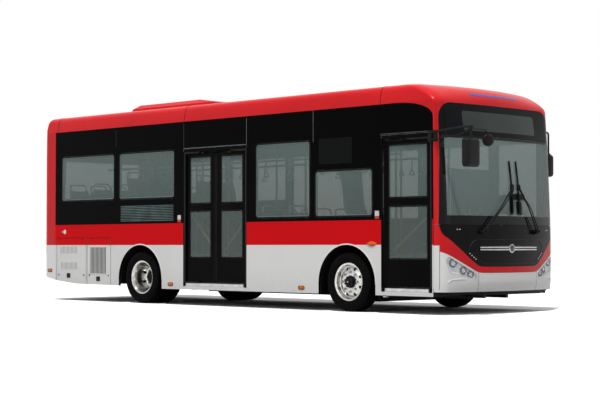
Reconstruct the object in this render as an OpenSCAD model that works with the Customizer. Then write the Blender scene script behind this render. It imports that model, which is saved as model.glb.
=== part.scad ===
// Nine-metre low-entry city bus, built from separate named pieces.
// Frame: +X towards the nose, +Y to the driver's (left) side, +Z up.
// The origin lies on the ground under the middle of the overall box.
// Lengthways stations are measured forward from the rear end and are
// shifted to that origin once, by place().

/* [Body] */
// Length of the body, rear end to nose
body_l = 8950; // [8200:10:9800]
// Width of the body over its side walls
body_w = 2450; // [2300:10:2550]
// Thickness of walls, roof and end caps
wall_t = 45; // [35:1:60]
// Thickness of window glass
glass_t = 6; // [5:1:8]
// Height of the roof crown
roof_z = 3085; // [2950:5:3300]
// Height where the side wall meets the cove panel
cove_z = 2805; // [2700:5:2850]
// Bottom edge of the dark window band
belt_z = 1252; // [1200:1:1290]
// Line between the red waist and the pale skirt
waist_z = 916; // [900:1:940]
// Bottom edge of the skirt
skirt_z = 240; // [220:1:280]
// Gap between neighbouring outer panels
seam = 0.8; // [0.6:0.1:0.9]

/* [Floor] */
// Top of the low floor
floor_z = 335; // [320:1:345]
// Thickness of the floor
floor_t = 40; // [30:1:50]
// Top of the raised rear floor
deck_z = 780; // [700:5:850]
// Station of the step up to the raised floor
deck_x = 3420; // [3300:10:3500]

/* [Wheels] */
// Rear end to rear axle
rear_axle_x = 2605; // [2500:5:2650]
// Nose to front axle
front_overhang = 1880; // [1865:5:2000]
// Outer radius of a tyre
tyre_r = 410; // [390:1:420]
// Width of a tyre
tyre_w = 245; // [225:1:255]
// Radius of the rim's bead seat
rim_r = 248; // [240:1:255]
// Centre distance of twin tyres
twin_pitch = 280; // [275:1:300]
// Radius of the wheel arch
arch_r = 535; // [520:1:545]
// Bolt circle diameter of the wheel nuts
stud_pcd = 275; // [225:1:285]
// Largest steering angle each way
lock_deg = 40; // [30:1:42]

/* [Doors] */
// Rear edge of the rear doorway
rear_door_x = 3647; // [3600:1:3700]
// Width of the rear doorway
rear_door_w = 1419; // [1300:1:1450]
// Nose to the rear edge of the front doorway
front_door_back = 1243; // [1210:1:1260]
// Width of the front doorway
front_door_w = 892; // [800:1:900]
// Top of both doorways
door_top = 2385; // [2300:1:2450]
// Thickness of a door leaf
leaf_t = 32; // [28:1:36]
// Radius of a turning door post
post_r = 15; // [12:1:16]

/* [Mirrors] */
// Reach of the front mirror beyond the nose
mirror_ahead = 400; // [250:5:450]
// Reach of the mirrors beyond the side walls
mirror_aside = 195; // [155:5:235]

/* [Hidden] */
$fn = 48;

// Body geometry
half_w = body_w / 2;
mirror_x = body_l + mirror_ahead;
mirror_y = half_w + mirror_aside;
mid_x = mirror_x / 2;          // shift from stations to the origin
bow_r = 4000;                  // plan radius of the nose
nose_start = body_l - 340;     // station where the nose's corners begin
// Corner radius that is tangent to the side wall and to the bow
bow_c = body_l - bow_r;
corner_r = (bow_r * bow_r - pow(nose_start - bow_c, 2) - half_w * half_w) / (2 * (bow_r - half_w));
tail_r = 150;                  // plan radius of the rear corners
tail_seam = 358;               // station of the seam to the rear cap
cap_seam = body_l - 1258;       // station of the seam to the front cap
front_door_x = body_l - front_door_back;
pillar_x = body_l - 256;       // station where the windscreen starts
touch = 0.5;                   // gap of a pane or pad to its seat
run_gap = 0.05;                // radial clearance of a bearing or pin
big = 4000;

// Heights on the nose
bumper_top = 546;
mask_low = 625;
mask_seam = 1180;
header_low = 2350;
header_top = 2785;
v_run = 589;                   // width of each rising end of the V
band_half = half_w - v_run;    // half width of its level part

// Wheels and steering
front_axle_x = body_l - front_overhang;
axle_z = tyre_r;
wheel_y = half_w - 25 - tyre_w / 2;
twin_y = wheel_y - twin_pitch;
flange_y = wheel_y - twin_pitch / 2;
king_y = 930;
arch_z = waist_z + 4 - arch_r;
rod_z = 160;
rod_back = 160;                // steering arm length

// Door leaves
post_y = half_w - 16;          // line of posts, pivots and rollers
leaf_off = leaf_t / 2 + post_r + 6;
post_in = post_r + 10;         // post axis to the doorway's edge
leaf_gap = 10;
lead = 40;                     // roller to the leading edge
trail = post_in - leaf_gap;    // post to the trailing edge
leaf_low = floor_z + 35;
leaf_top = door_top - 85;
track_low = door_top - 40;
roller_r = 8;
arm_h = 18;

// Windows of one side as [x0, x1, z0, z1]
win_top = 2372;
mid_glass = body_l - 2590;      // front edge of the middle window on the right
right_panes = [[551, 1939, 1654, win_top], [2086, 3426, 1654, win_top],
    [rear_door_x + rear_door_w + 206, mid_glass, 1315, win_top], [body_l - 2470, body_l - 1407, 1315, 1939]];
left_panes = [[551, 1939, 1654, win_top], [2086, 3426, 1654, win_top], [3573, 4950, 1315, win_top],
    [5097, body_l - 2650, 1315, win_top], [body_l - 2503, body_l - 1300, 1315, win_top],
    [body_l - 1153, body_l - 450, 1200, win_top]];
pane_lip = 18;                 // pane edge over the opening's edge
pane_r = 40;
rear_pane = [-820, 820, 1700, 2360];

// Service doors
hatch_top = 1040;
aft_hatch = [tail_seam + 40, 1216];
fore_hatch = [1236, 1866];
engine_hatch = [-860, 860, 560, 1235];
hatch_gap = 6;
hinge_in = 5;                  // hinge axis to the outer face
hinge_gap = 10;                // door's top edge to the panel above
hinge_r = 5;
pin_r = 2.5;

// Small helpers

// Arc points about c from angle a to b
function arc(c, r, a, b, n = 6) =
    [for (i = [0:n]) c + r * [cos(a + (b - a) * i / n), sin(a + (b - a) * i / n)]];

// Rounded rectangle, anticlockwise
function rounded(x0, y0, x1, y1, r) = concat(
    arc([x1 - r, y0 + r], r, -90, 0), arc([x1 - r, y1 - r], r, 0, 90),
    arc([x0 + r, y1 - r], r, 90, 180), arc([x0 + r, y0 + r], r, 180, 270));

function unit(v) = v / norm(v);
function inward(a, b) = let (u = unit(b - a)) [-u[1], u[0]];

// An anticlockwise outline moved inwards by d
function inset(p, d) = let (n = len(p))
    [for (k = [0:n - 1]) let (m1 = inward(p[(k + n - 1) % n], p[k]), m2 = inward(p[k], p[(k + 1) % n]))
        p[k] + d * (m1 + m2) / (1 + m1 * m2)];

// Moves stations to the origin under the middle of the overall box
module place() translate([-mid_x, 0, 0]) children();

// Side-view outline (station, height) drawn from y0 to y1
module from_side(points, y0, y1)
    translate([0, y1, 0]) rotate([90, 0, 0]) linear_extrude(y1 - y0) polygon(points);

// Front-view outline (y, height) drawn from station x0 to x1
module from_front(points, x0, x1)
    translate([x0, 0, 0]) rotate([90, 0, 90]) linear_extrude(x1 - x0) polygon(points);

// Box from corner a to corner b
module span(a, b) translate(a) cube(b - a);

// Cylinder along Y from y0 to y1
module along_y(x, z, y0, y1, r)
    translate([x, y1, z]) rotate([90, 0, 0]) cylinder(r = r, h = y1 - y0);

// Cylinder along X from x0 to x1
module along_x(y, z, x0, x1, r)
    translate([x0, y, z]) rotate([0, 90, 0]) cylinder(r = r, h = x1 - x0);

// Round bar between two points
module rod(a, b, r) {
    d = b - a;
    translate(a) rotate([0, acos(d[2] / norm(d)), atan2(d[1], d[0])]) cylinder(r = r, h = norm(d));
}

// Mirrors a piece of the left side to the right side, side = -1
module on_side(side) mirror([0, side < 0 ? 1 : 0, 0]) children();

// Outer form of the body

function side_outline() = concat(
    [[40, 200], [body_l - 80, 200], [body_l - 15, 330], [body_l, bumper_top + 14], [body_l, 950],
    [body_l - 6, mask_seam], [body_l - 25, 1450], [body_l - 60, 1850], [body_l - 105, 2250],
    [body_l - 160, 2560], [body_l - 210, header_top], [body_l - 225, roof_z - 235],
    [body_l - 260, roof_z - 170], [body_l - 320, roof_z - 115], [body_l - 410, roof_z - 70],
    [body_l - 550, roof_z - 33], [body_l - 750, roof_z - 10], [body_l - 1000, roof_z]],
    [[260, roof_z], [200, roof_z - 20], [150, roof_z - 60], [118, roof_z - 115], [104, roof_z - 185],
    [0, belt_z], [0, 420]]);

function half_section() = [[half_w, 200], [half_w, cove_z], [half_w - 33, roof_z - 100],
    [half_w - 45, roof_z - 75], [half_w - 65, roof_z - 53], [half_w - 95, roof_z - 37],
    [half_w - 135, roof_z - 27], [half_w - 600, roof_z - 8]];
function flip(p) = [for (i = [len(p) - 1:-1:0]) [-p[i][0], p[i][1]]];
section = concat(half_section(), [[0, roof_z]], flip(half_section()));

// The nose's plan: the part of the outline ahead of the front cap's seam
module nose_plan(i) {
    intersection() {
        union() {
            translate([cap_seam - 200, -half_w + i]) square([nose_start - cap_seam + 200, body_w - 2 * i]);
            for (s = [-1, 1])
                translate([nose_start, s * (half_w - corner_r)]) circle(r = corner_r - i);
            translate([nose_start - 1, -half_w + corner_r]) square([400, body_w - 2 * corner_r]);
        }
        translate([bow_c, 0]) circle(r = bow_r - i, $fn = 180);
    }
}

// The tail's plan: the part of the outline behind the rear cap's seam
module tail_plan(i) {
    translate([tail_r, -half_w + i]) square([600 - tail_r, body_w - 2 * i]);
    translate([i, -half_w + tail_r]) square([tail_r + 1, body_w - 2 * tail_r]);
    for (s = [-1, 1])
        translate([tail_r, s * (half_w - tail_r)]) circle(r = tail_r - i);
}

// Solid form of nose or tail, i inside the skin
module form(front, i) {
    intersection() {
        linear_extrude(3400) if (front) nose_plan(i); else tail_plan(i);
        from_side(inset(side_outline(), i), -big, big);
        from_front(inset(section, i), -100, body_l + 100);
    }
}

// Skin of nose or tail between two depths
module skin(front, t0, t1) difference() {
    form(front, t0);
    form(front, t1);
}

// Underframe: two rails, cross members, outriggers and towing eyes
rail_y = 410;
rail_w = 60;
rail_top = floor_z - floor_t;
rail_low = 190;
kick_x = deck_x - 60;          // rails rise to the rear deck behind this station
kick_z = 560;
beams_x = [560, 1300, 1950, 3000];
tow_r = 20;

module rail() {
    from_side([[560, kick_z], [kick_x - 400, kick_z], [kick_x, rail_low], [nose_start - 50, rail_low],
        [nose_start - 50, rail_top], [kick_x + 60, rail_top], [kick_x - 340, kick_z + 120], [560, kick_z + 120]],
        -rail_w / 2, rail_w / 2);
}

// A cross member between the rails at one station, and its outriggers
module cross_member(x, z0, z1, outer) {
    inner = rail_y - rail_w / 2 - touch;
    span([x, -inner, z0], [x + 60, inner, z1]);
    if (outer)
        for (s = [-1, 1]) on_side(s)
            span([x, rail_y + rail_w / 2 + touch, z0], [x + 60, inner_y, z1]);
}

module tow_lug(x0, x1, z0, z1, eye_x)
    difference() {
        span([x0, -rail_y - 25, z0], [x1, -rail_y + 25, z1]);
        along_y(eye_x, (z0 + z1) / 2, -rail_y - 60, -rail_y + 60, tow_r);
    }

// The rear lug hangs from the rail's end, with its eye below the rear bumper
rear_eye = [210, 315];
module rear_tow_lug()
    difference() {
        union() {
            span([rear_eye[0] - 50, -rail_y - 25, rear_eye[1] - 35], [rear_eye[0] + 50, -rail_y + 25, kick_z + 100]);
            span([rear_eye[0], -rail_y - 25, kick_z], [560 - touch, -rail_y + 25, kick_z + 100]);
        }
        along_y(rear_eye[0], rear_eye[1], -rail_y - 60, -rail_y + 60, tow_r);
    }

cross_x = [3800, 4500, 5200, 5900, front_axle_x - 620, front_axle_x + 630, nose_start - 110];
module underframe() color("dimgray") {
    for (s = [-1, 1]) translate([0, s * rail_y, 0]) rail();
    for (x = cross_x) cross_member(x, rail_top - 60, rail_top, true);
    for (x = beams_x) cross_member(x, kick_z + 20, kick_z + 120, x < 1500);
    // towing lugs, front and rear
    tow_lug(nose_start - 50 + touch, body_l - 130, rail_low + 20, rail_top - 10, body_l - 190);
    rear_tow_lug();
}

// Floor: low floor, riser and raised rear deck with holes for the wheel boxes
box_len = arch_r + 20;         // half length of a wheel box
tube_room = 95;                 // room around the rear axle's tube
box_in = 615;                  // inner face of a wheel box
inner_y = half_w - wall_t - touch;

module cabin_floor() color("slategray") {
    difference() {
        union() {
            span([deck_x, -inner_y, floor_z - floor_t], [nose_start, inner_y, floor_z]);
            intersection() {
                span([nose_start - 1, -inner_y, floor_z - floor_t], [body_l - 110, inner_y, floor_z]);
                form(true, wall_t + touch);
            }
            span([tail_seam + 60, -inner_y, deck_z - floor_t], [deck_x + floor_t, inner_y, deck_z]);
            span([deck_x, -inner_y, floor_z - floor_t], [deck_x + floor_t, inner_y, deck_z]);
            span([deck_x, -300, floor_z - 1], [deck_x + 340, 300, floor_z + 222]);
            for (s = [-1, 1])
                span([deck_x, s > 0 ? 640 : -inner_y, floor_z - 1],
                    [deck_x + 190, s > 0 ? inner_y : -640, floor_z + 222]);
        }
        for (s = [-1, 1], x = [rear_axle_x, front_axle_x])
            span([x - box_len - touch, s > 0 ? box_in - touch : -big, -1],
                [x + box_len + touch, s > 0 ? big : -box_in + touch, deck_z + 1]);
    }
    // door sills between the jambs
    for (d = [[rear_door_x, rear_door_w], [front_door_x, front_door_w]])
        span([d[0] + touch, -half_w + 2, floor_z - floor_t], [d[0] + d[1] - touch, -inner_y, floor_z]);
}

// Wheel boxes: a half-round tunnel over each wheel with a wall towards the aisle
module wheel_box(x) {
    r = arch_r + 20;
    wall = 10;
    outline = concat([[x - r, floor_z - floor_t]], arc([x, arch_z], r, 180, 0, 24), [[x + r, floor_z - floor_t]]);
    hollow = concat([[x - r + wall, 0]], arc([x, arch_z], r - wall, 180, 0, 24), [[x + r - wall, 0]]);
    difference() {
        from_side([for (i = [len(outline) - 1:-1:0]) outline[i]], box_in, inner_y);
        from_side([for (i = [len(hollow) - 1:-1:0]) hollow[i]], box_in + wall, inner_y + 1);
        children();
    }
}

module wheel_housings() color("darkslategray")
    for (s = [-1, 1]) on_side(s) {
        wheel_box(front_axle_x);
        // the rear axle's tube passes through a notch in the inner wall
        wheel_box(rear_axle_x)
            span([rear_axle_x - tube_room, 0, 0], [rear_axle_x + tube_room, box_in + 20, axle_z + tube_room]);
    }

// Hinges of the service doors, drawn with the axis along X and the outer face
// at y = 0. The fixed part is a tab with a pin, and the door turns on the pin.
function hinge_places(x) = [x[0] + 110, x[1] - 110];
module on_wall(c) translate([c, -half_w, hatch_top - hinge_gap]) children();
module on_tail(c) translate([0, c, engine_hatch[3] - hinge_gap]) rotate([0, 0, -90]) children();

module hinge_tab() {
    span([-8, 0.5, -hinge_r], [8, 2 * hinge_in - 0.5, hinge_gap + 1]);
    along_x(hinge_in, 0, -40, 40, pin_r);
}
module hinge_notch() span([-14, -1, -12], [14, 28, 1]);
module hinge_barrels(r) for (x = [-40, 14]) along_x(hinge_in, 0, x, x + 26, r);

// Side walls: skin and posts of one side, with windows, arches and doorways cut

// Side-view outline of a wall, with the front top corner rounded
wall_end = nose_start + 6;
corner_x = nose_start - 620;     // where the wall's top edge starts to fall
function wall_outline() = concat(
    [[tail_seam + seam, 330], [950, 280], [2000, skirt_z + 30], [3200, skirt_z], [wall_end, skirt_z]],
    [[wall_end, 2600]],
    [for (a = [0:15:90]) [corner_x + (wall_end - corner_x) * cos(a), 2600 + (cove_z - seam - 2600) * sin(a)]],
    [[tail_seam + seam, cove_z - seam]]);

module pane_hole(p, y0) {
    from_side(rounded(p[0], p[2], p[1], p[3], pane_r), -half_w - 1, half_w + 1);
    from_side(rounded(p[0] - pane_lip, p[2] - pane_lip, p[1] + pane_lip, p[3] + pane_lip, pane_r + pane_lip),
        y0, y0 + 100);
}

module wheel_cut(x) {
    along_y(x, arch_z, -big, big, arch_r);
    span([x - arch_r, -big, 0], [x + arch_r, big, arch_z]);
}

module wall(panes) {
    difference() {
        from_side(wall_outline(), half_w - wall_t, half_w);
        for (p = panes) pane_hole(p, half_w - glass_t - 2);
        for (x = [rear_axle_x, front_axle_x]) wheel_cut(x);
        children();
    }
}

module doorway(x, w) span([x, 0, floor_z - floor_t - touch], [x + w, big, door_top]);

// A louvred recess behind the last window
louvre = [2103, 3418, 1283, 1548];
louvre_deep = 20;

module right_wall() color("firebrick") {
    on_side(-1)
        wall(right_panes) {
            doorway(rear_door_x, rear_door_w);
            doorway(front_door_x, front_door_w);
            for (h = [aft_hatch, fore_hatch])
                span([h[0], 0, 0], [h[1], big, hatch_top]);
            span([louvre[0], half_w - louvre_deep, louvre[2]], [louvre[1], big, louvre[3]]);
        }
    for (h = [aft_hatch, fore_hatch], c = hinge_places(h)) on_wall(c) hinge_tab();
}

module left_wall() color("firebrick")
    wall(left_panes)
        span([louvre[0], half_w - louvre_deep, louvre[2]], [louvre[1], big, louvre[3]]);

module pane(p) {
    g = pane_lip - touch;
    from_side(rounded(p[0] - g, p[2] - g, p[1] + g, p[3] + g, pane_r + g), half_w - glass_t - 2, half_w - 2);
}

module right_windows() color("slategray", 0.5) on_side(-1) for (p = right_panes) pane(p);
module left_windows() color("slategray", 0.5) for (p = left_panes) pane(p);

// Roof: skin with its coves, between the two end caps
module roof_panel() color("red")
    intersection() {
        difference() {
            from_front(section, tail_seam + seam, cap_seam - seam);
            from_front(inset(section, wall_t), 0, body_l);
        }
        span([0, -big, cove_z], [body_l, big, big]);
    }

// Air-conditioning pod on the roof
pod_x = [2060, 4110];
pod_y = 950;
pod_z = 3168;

module roof_pod() color("red")
    intersection() {
        from_side([[pod_x[0], roof_z - 30], [pod_x[1], roof_z - 30], [pod_x[1], roof_z + 12],
            [pod_x[1] - 450, pod_z], [pod_x[0] + 140, pod_z], [pod_x[0], roof_z + 12]], -pod_y, pod_y);
        difference() {
            from_front([[-pod_y, roof_z - 40], [pod_y, roof_z - 40], [pod_y, roof_z + 25], [pod_y - 60, pod_z + 1],
                [-pod_y + 60, pod_z + 1], [-pod_y, roof_z + 25]], pod_x[0] - 1, pod_x[1] + 1);
            from_front(inset(section, -touch), 0, body_l);
        }
    }

// Front cap: dome and windscreen pillars
module cap_region() {
    difference() {
        span([cap_seam, -big, mask_seam - seam], [body_l + 50, big, big]);
        // side walls below the cove
        from_side(concat([[0, 0], [wall_end + seam, 0], [wall_end + seam, 2600]],
            [for (a = [0:15:90]) [corner_x + (wall_end + seam - corner_x) * cos(a), 2600 + (cove_z - 2600) * sin(a)]],
            [[0, cove_z]]), -big, big);
        // windscreen and header
        from_front(rounded(-big, 0, big, header_top, 1), pillar_x, body_l + 100);
    }
}

module front_cap() color("red")
    intersection() {
        skin(true, 0, wall_t);
        cap_region();
    }

// V-shaped band across the nose
function v_shape(z, rise) = let (top = z + (big - band_half) * rise / v_run)
    [[-big, top], [-band_half, z], [band_half, z], [big, top]];
band_low = bumper_top + seam;
mask_rise = 455;
band_rise = 295;

module front_band() color("red")
    intersection() {
        skin(true, 0, wall_t);
        from_front(concat(v_shape(band_low, band_rise), [[big, big], [-big, big]]), wall_end + seam, body_l + 100);
        span([0, -big, 0], [body_l + 100, big, mask_seam - 2 * seam]);
        difference() {
            cube(3 * body_l, center = true);
            from_front(concat(v_shape(mask_low, mask_rise), [[big, big], [-big, big]]), pillar_x, body_l + 100);
        }
    }

// Black mask below the windscreen
module front_mask() color("black")
    intersection() {
        skin(true, 0, wall_t);
        from_front(concat(v_shape(mask_low + seam, mask_rise), [[big, big], [-big, big]]),
            pillar_x + seam, body_l + 100);
        span([0, -big, 0], [body_l + 100, big, mask_seam]);
    }

// Windscreen and the header glass above it
module windscreen() color("slategray", 0.5)
    for (z = [[mask_seam + seam, header_low - 3], [header_low + 3, header_top - seam]])
        intersection() {
            skin(true, 0, 9);
            span([pillar_x + seam, -big, z[0]], [body_l + 100, big, z[1]]);
        }

// Bumper: a middle part and two corner parts with room for the lamps
lamp = [for (p = [[75, 720], [115, 560], [525, 470], [553, 500], [545, 535], [105, 765]]) [p[0] - half_w, p[1]]];
lamp_t = 30;

module bumper_piece(y0, y1)
    intersection() {
        skin(true, 0, wall_t);
        from_front([[-big, skirt_z + 60], [big, skirt_z + 60], [big, 915], [-big, 915]], wall_end + seam, body_l + 100);
        from_front(concat([for (p = v_shape(bumper_top, band_rise)) p], [[big, 0], [-big, 0]]), 0, body_l + 100);
        span([0, y0, 0], [body_l + 100, y1, big]);
    }

module lamp_cut(grow) for (s = [-1, 1])
    on_side(-s) from_front(inset([for (p = [0:5]) lamp[p]], -grow), 8500, body_l + 100);

module front_bumper() color("whitesmoke")
    difference() {
        union() {
            bumper_piece(-band_half + seam, band_half - seam);
            bumper_piece(-big, -band_half);
            bumper_piece(band_half, big);
        }
        difference() {
            lamp_cut(touch);
            form(true, lamp_t + touch);
        }
    }

module headlamps() color("silver")
    intersection() {
        skin(true, 3, lamp_t);
        lamp_cut(0);
    }

// Rear cap, rear bumper, rear window, engine door and tail lamps
rear_bumper_top = waist_z - seam;

module rear_pane_form(grow) from_front(
    rounded(rear_pane[0] - grow, rear_pane[2] - grow, rear_pane[1] + grow, rear_pane[3] + grow, pane_r + grow),
    -100, 300);

module tail_lamp_cut(grow) for (s = [-1, 1], z = [[1010, 1150], [1170, 1310]])
    on_side(s) from_front(rounded(1010 - grow, z[0] - grow, 1130 + grow, z[1] + grow, 30), -100, 400);

module engine_cut() span([-100, engine_hatch[0], engine_hatch[2]], [300, engine_hatch[1], engine_hatch[3]]);
engine_hinges = [-600, 600];

module tail_cuts() {
    rear_pane_form(0);
    difference() {
        rear_pane_form(pane_lip);
        form(false, glass_t + 2);
    }
    difference() {
        tail_lamp_cut(touch);
        form(false, 25);
    }
    engine_cut();
}

module rear_cap() color("firebrick") {
    difference() {
        intersection() {
            skin(false, 0, wall_t);
            span([-1, -big, waist_z], [tail_seam, big, big]);
        }
        tail_cuts();
    }
    for (c = engine_hinges) on_tail(c) hinge_tab();
}

module rear_bumper() color("whitesmoke")
    difference() {
        intersection() {
            skin(false, 0, wall_t);
            from_side([[-1, 430], [150, 372], [tail_seam, 335], [tail_seam, rear_bumper_top], [-1, rear_bumper_top]],
                -big, big);
        }
        engine_cut();
    }

module rear_window() color("slategray", 0.5)
    intersection() {
        skin(false, 2, glass_t + 2 - touch);
        rear_pane_form(pane_lip - touch);
    }

module tail_lamps() color("darkred")
    intersection() {
        skin(false, 2, 25 - touch);
        tail_lamp_cut(0);
    }

module engine_door() color("firebrick")
    difference() {
        union() {
            difference() {
                span([0, engine_hatch[0] + hatch_gap, engine_hatch[2] + hatch_gap],
                    [wall_t, engine_hatch[1] - hatch_gap, engine_hatch[3] - hinge_gap]);
                for (c = engine_hinges) on_tail(c) hinge_notch();
            }
            for (c = engine_hinges) on_tail(c) hinge_barrels(hinge_r);
        }
        for (c = engine_hinges) on_tail(c) hinge_barrels(pin_r + run_gap);
    }

// Service doors in the right wall
module service_door(x) color("whitesmoke")
    difference() {
        union() {
            difference() {
                from_side(wall_outline(), -half_w, -half_w + wall_t);
                span([-1, -big, hatch_top - hinge_gap], [body_l, big, big]);
                span([-1, -big, 0], [x[0] + hatch_gap, big, big]);
                span([x[1] - hatch_gap, -big, 0], [body_l, big, big]);
                for (c = hinge_places(x)) on_wall(c) hinge_notch();
            }
            for (c = hinge_places(x)) on_wall(c) hinge_barrels(hinge_r);
        }
        for (c = hinge_places(x)) on_wall(c) hinge_barrels(pin_r + run_gap);
    }

// Interior
seat_w = 430;
seat_h = 430;                  // floor to the top of the cushion
cushion_t = 90;
back_t = 80;
back_h = 620;

// One bench for n people: cushion on a plinth, and a back behind it.
// x is the back's rear face, y the bench's centre, z the floor.
module bench(x, y, z, n) {
    w = n * seat_w;
    span([x + back_t + touch, y - w / 2, z + seat_h - cushion_t], [x + 480, y + w / 2, z + seat_h]);
    span([x + 120, y - w / 2 + 60, z + touch], [x + 400, y + w / 2 - 60, z + seat_h - cushion_t - touch]);
    from_side([[x + 40, z + seat_h - cushion_t + 20], [x + back_t, z + seat_h - cushion_t + 20],
        [x + back_t - 60, z + seat_h + back_h], [x - 60, z + seat_h + back_h]], y - w / 2, y + w / 2);
}

aisle_y = inner_y - seat_w - 12;
box_top = arch_z + arch_r + 20;
module passenger_seats() color("steelblue") {
    bench(560, 0, deck_z, 5);
    for (s = [-1, 1]) {
        bench(1330, s * aisle_y, deck_z, 2);
        bench(2200, s * aisle_y, box_top, 2);
        bench(front_axle_x - 200, s * (inner_y - seat_w / 2 - 30), box_top, 1);
    }
    for (x = [284, 844]) bench(rear_door_x + rear_door_w + x, -aisle_y - seat_w / 2, floor_z, 1);
    for (x = [4250, 5000, 5750]) bench(x, aisle_y, floor_z, 2);
}

module driver_seat() color("black") {
    z = floor_z + touch;
    x = nose_start - 820;
    span([x + 110, 430, z], [x + 460, 830, z + 330]);
    span([x, 400, z + 330 + touch], [x + 520, 860, z + 450]);
    from_side([[x, z + 450 + touch], [x + 90, z + 450 + touch], [x + 20, z + 1150], [x - 60, z + 1150]], 410, 850);
}

// Dashboard with steering column
column_a = [nose_start - 180, 600, 940];
column_b = [nose_start - 320, 600, 1120];
shaft_r = 14;
module dashboard() color("darkslategray") {
    intersection() {
        union() {
            from_side([[body_l - 280, floor_z + touch], [body_l - 110, floor_z + touch], [body_l - 80, 1120],
                [body_l - 470, 1120], [body_l - 480, 1060], [body_l - 310, 900]], 230, half_w - 95);
            from_side([[body_l - 190, floor_z + touch], [body_l - 110, floor_z + touch], [body_l - 80, 1120],
                [body_l - 250, 1120]], 125 - half_w, 231);
        }
        form(true, wall_t + touch);
    }
    difference() {
        rod(column_b + 35 * unit(column_a - column_b), column_b + 620 * unit(column_a - column_b), 40);
        rod(column_b, column_b + 90 * unit(column_a - column_b), shaft_r + run_gap);
    }
}

module steering_wheel() color("black") {
    d = unit(column_b - column_a);
    tilt = [0, acos(d[2]), atan2(d[1], d[0])];
    translate(column_b) rotate(tilt) {
        rotate_extrude() translate([215, 0]) circle(r = 16);
        for (a = [90, 210, 330]) rotate(a) translate([0, -14, -8]) cube([205, 28, 16]);
        translate([0, 0, -30]) cylinder(r = 50, h = 45);
        translate([0, 0, -85]) cylinder(r = shaft_r, h = 90);
    }
}

module cab_partition() color("dimgray") {
    x = nose_start - 970;
    span([x, 330, floor_z + touch], [x + 25, inner_y - touch, 2000]);
    span([x + 24, 330, floor_z + touch], [x + 510, 355, 1350]);
}

// Grab rails: stanchions from floor to ceiling, with pipe lengths between them
pipe_r = 17;
pipe_z = 2180;
pipe_y = 520;
pipe_top = roof_z - 8 * pipe_y / (half_w - 600) - wall_t - 1;
deck_posts = [1160, 1960, 3300];
floor_posts = [3900, 5585, front_axle_x - 630, front_axle_x + 380];
module grab_rails() color("goldenrod") {
    posts = concat(deck_posts, floor_posts);
    joint = pipe_r + touch;
    for (s = [-1, 1]) {
        for (x = deck_posts) rod([x, s * pipe_y, deck_z + touch], [x, s * pipe_y, pipe_top], pipe_r);
        for (x = floor_posts) rod([x, s * pipe_y, floor_z + touch], [x, s * pipe_y, pipe_top], pipe_r);
        along_x(s * pipe_y, pipe_z, 900, posts[0] - joint, pipe_r);
        for (i = [1:len(posts) - 1])
            along_x(s * pipe_y, pipe_z, posts[i - 1] + joint, posts[i] - joint, pipe_r);
    }
}

// Mirrors: a bracket on the pillar, a bent arm and a housing
module right_mirror() color("black") on_side(-1) {
    y0 = half_w + touch;
    head = mirror_x - 95;
    arm_y = half_w + 60;
    elbow = [head + 30, arm_y, 2420];
    knee = [head - 60, arm_y - 7, 2340];
    span([nose_start - 60, y0, 2255], [nose_start, y0 + 26, 2405]);
    rod([nose_start - 30, half_w + 15, 2380], elbow, 15);
    rod([nose_start - 30, half_w + 15, 2285], knee, 11);
    rod(knee, elbow, 11);
    sphere_at(knee, 12);
    sphere_at(elbow, 17);
    rod(elbow, [head + 45, arm_y, 2250], 14);
    from_front(rounded(half_w - 75, 1905, mirror_y, 2268, 45), head, mirror_x);
    // round wide-angle mirror on its own stalk
    rod(elbow, [head + 30, 960, 2400], 10);
    sphere_at([head + 30, 960, 2400], 12);
    rod([head + 30, 960, 2400], [head + 30, 900, 2290], 10);
    along_x(900, 2262, head, head + 50, 80);
}

module sphere_at(p, r) translate(p) sphere(r = r);

module left_mirror() color("black") {
    y0 = half_w + touch;
    span([nose_start - 40, y0, 2430], [nose_start + 10, y0 + 26, 2540]);
    arm_y = half_w + 125;
    rod([nose_start - 20, half_w + 20, 2500], [nose_start - 20, arm_y, 2510], 15);
    sphere_at([nose_start - 20, arm_y, 2510], 17);
    rod([nose_start - 20, arm_y, 2510], [nose_start - 20, arm_y, 2180], 14);
    from_front(rounded(half_w + 60, 1880, mirror_y, 2200, 40), nose_start - 80, nose_start + 30);
}

// Point on the nose's outer face at a place across and a height
nose_profile = [[bumper_top + 14, body_l], [950, body_l], [mask_seam, body_l - 6], [1450, body_l - 25],
    [1850, body_l - 60], [2250, body_l - 105]];
function nose_at(y, z) = min(lookup(z, nose_profile), bow_c + sqrt(bow_r * bow_r - y * y));

// Wipers: two upright blades on arms that cross
blade_half = 350;
module wiper(pivot, tip) {
    hub = nose_at(pivot[0], pivot[1]);
    low = [nose_at(tip[0], tip[1] - blade_half) + 4, tip[1] - blade_half];
    high = [nose_at(tip[0], tip[1] + blade_half) + 4, tip[1] + blade_half];
    difference() {
        along_x(pivot[0], pivot[1], hub - 30, hub + 72, 15);
        form(true, -touch);
    }
    rod([hub + 62, pivot[0], pivot[1]], [nose_at(tip[0], tip[1]) + 22, tip[0], tip[1]], 8);
    from_side([low, low + [22, 0], high + [22, 0], high], tip[0] - 11, tip[0] + 11);
}
module wipers() color("black") {
    wiper([-600, 1085], [40, 1695]);
    wiper([560, 1085], [190, 1695]);
}

// Heavy masses
module battery_pack() color("gray")
    span([beams_x[0] + 60 + touch, -rail_y + rail_w / 2 + touch, 380],
        [beams_x[1] - touch, rail_y - rail_w / 2 - touch, deck_z - floor_t - touch]);

motor_x = [rear_axle_x - 905, rear_axle_x - 355];
module drive_motor() color("gray")
    span([motor_x[0], -260, 300], [motor_x[1], 260, kick_z + 20 - touch]);

// Axles, springs and steering
beam_low = 125;
beam_x = 45;

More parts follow.
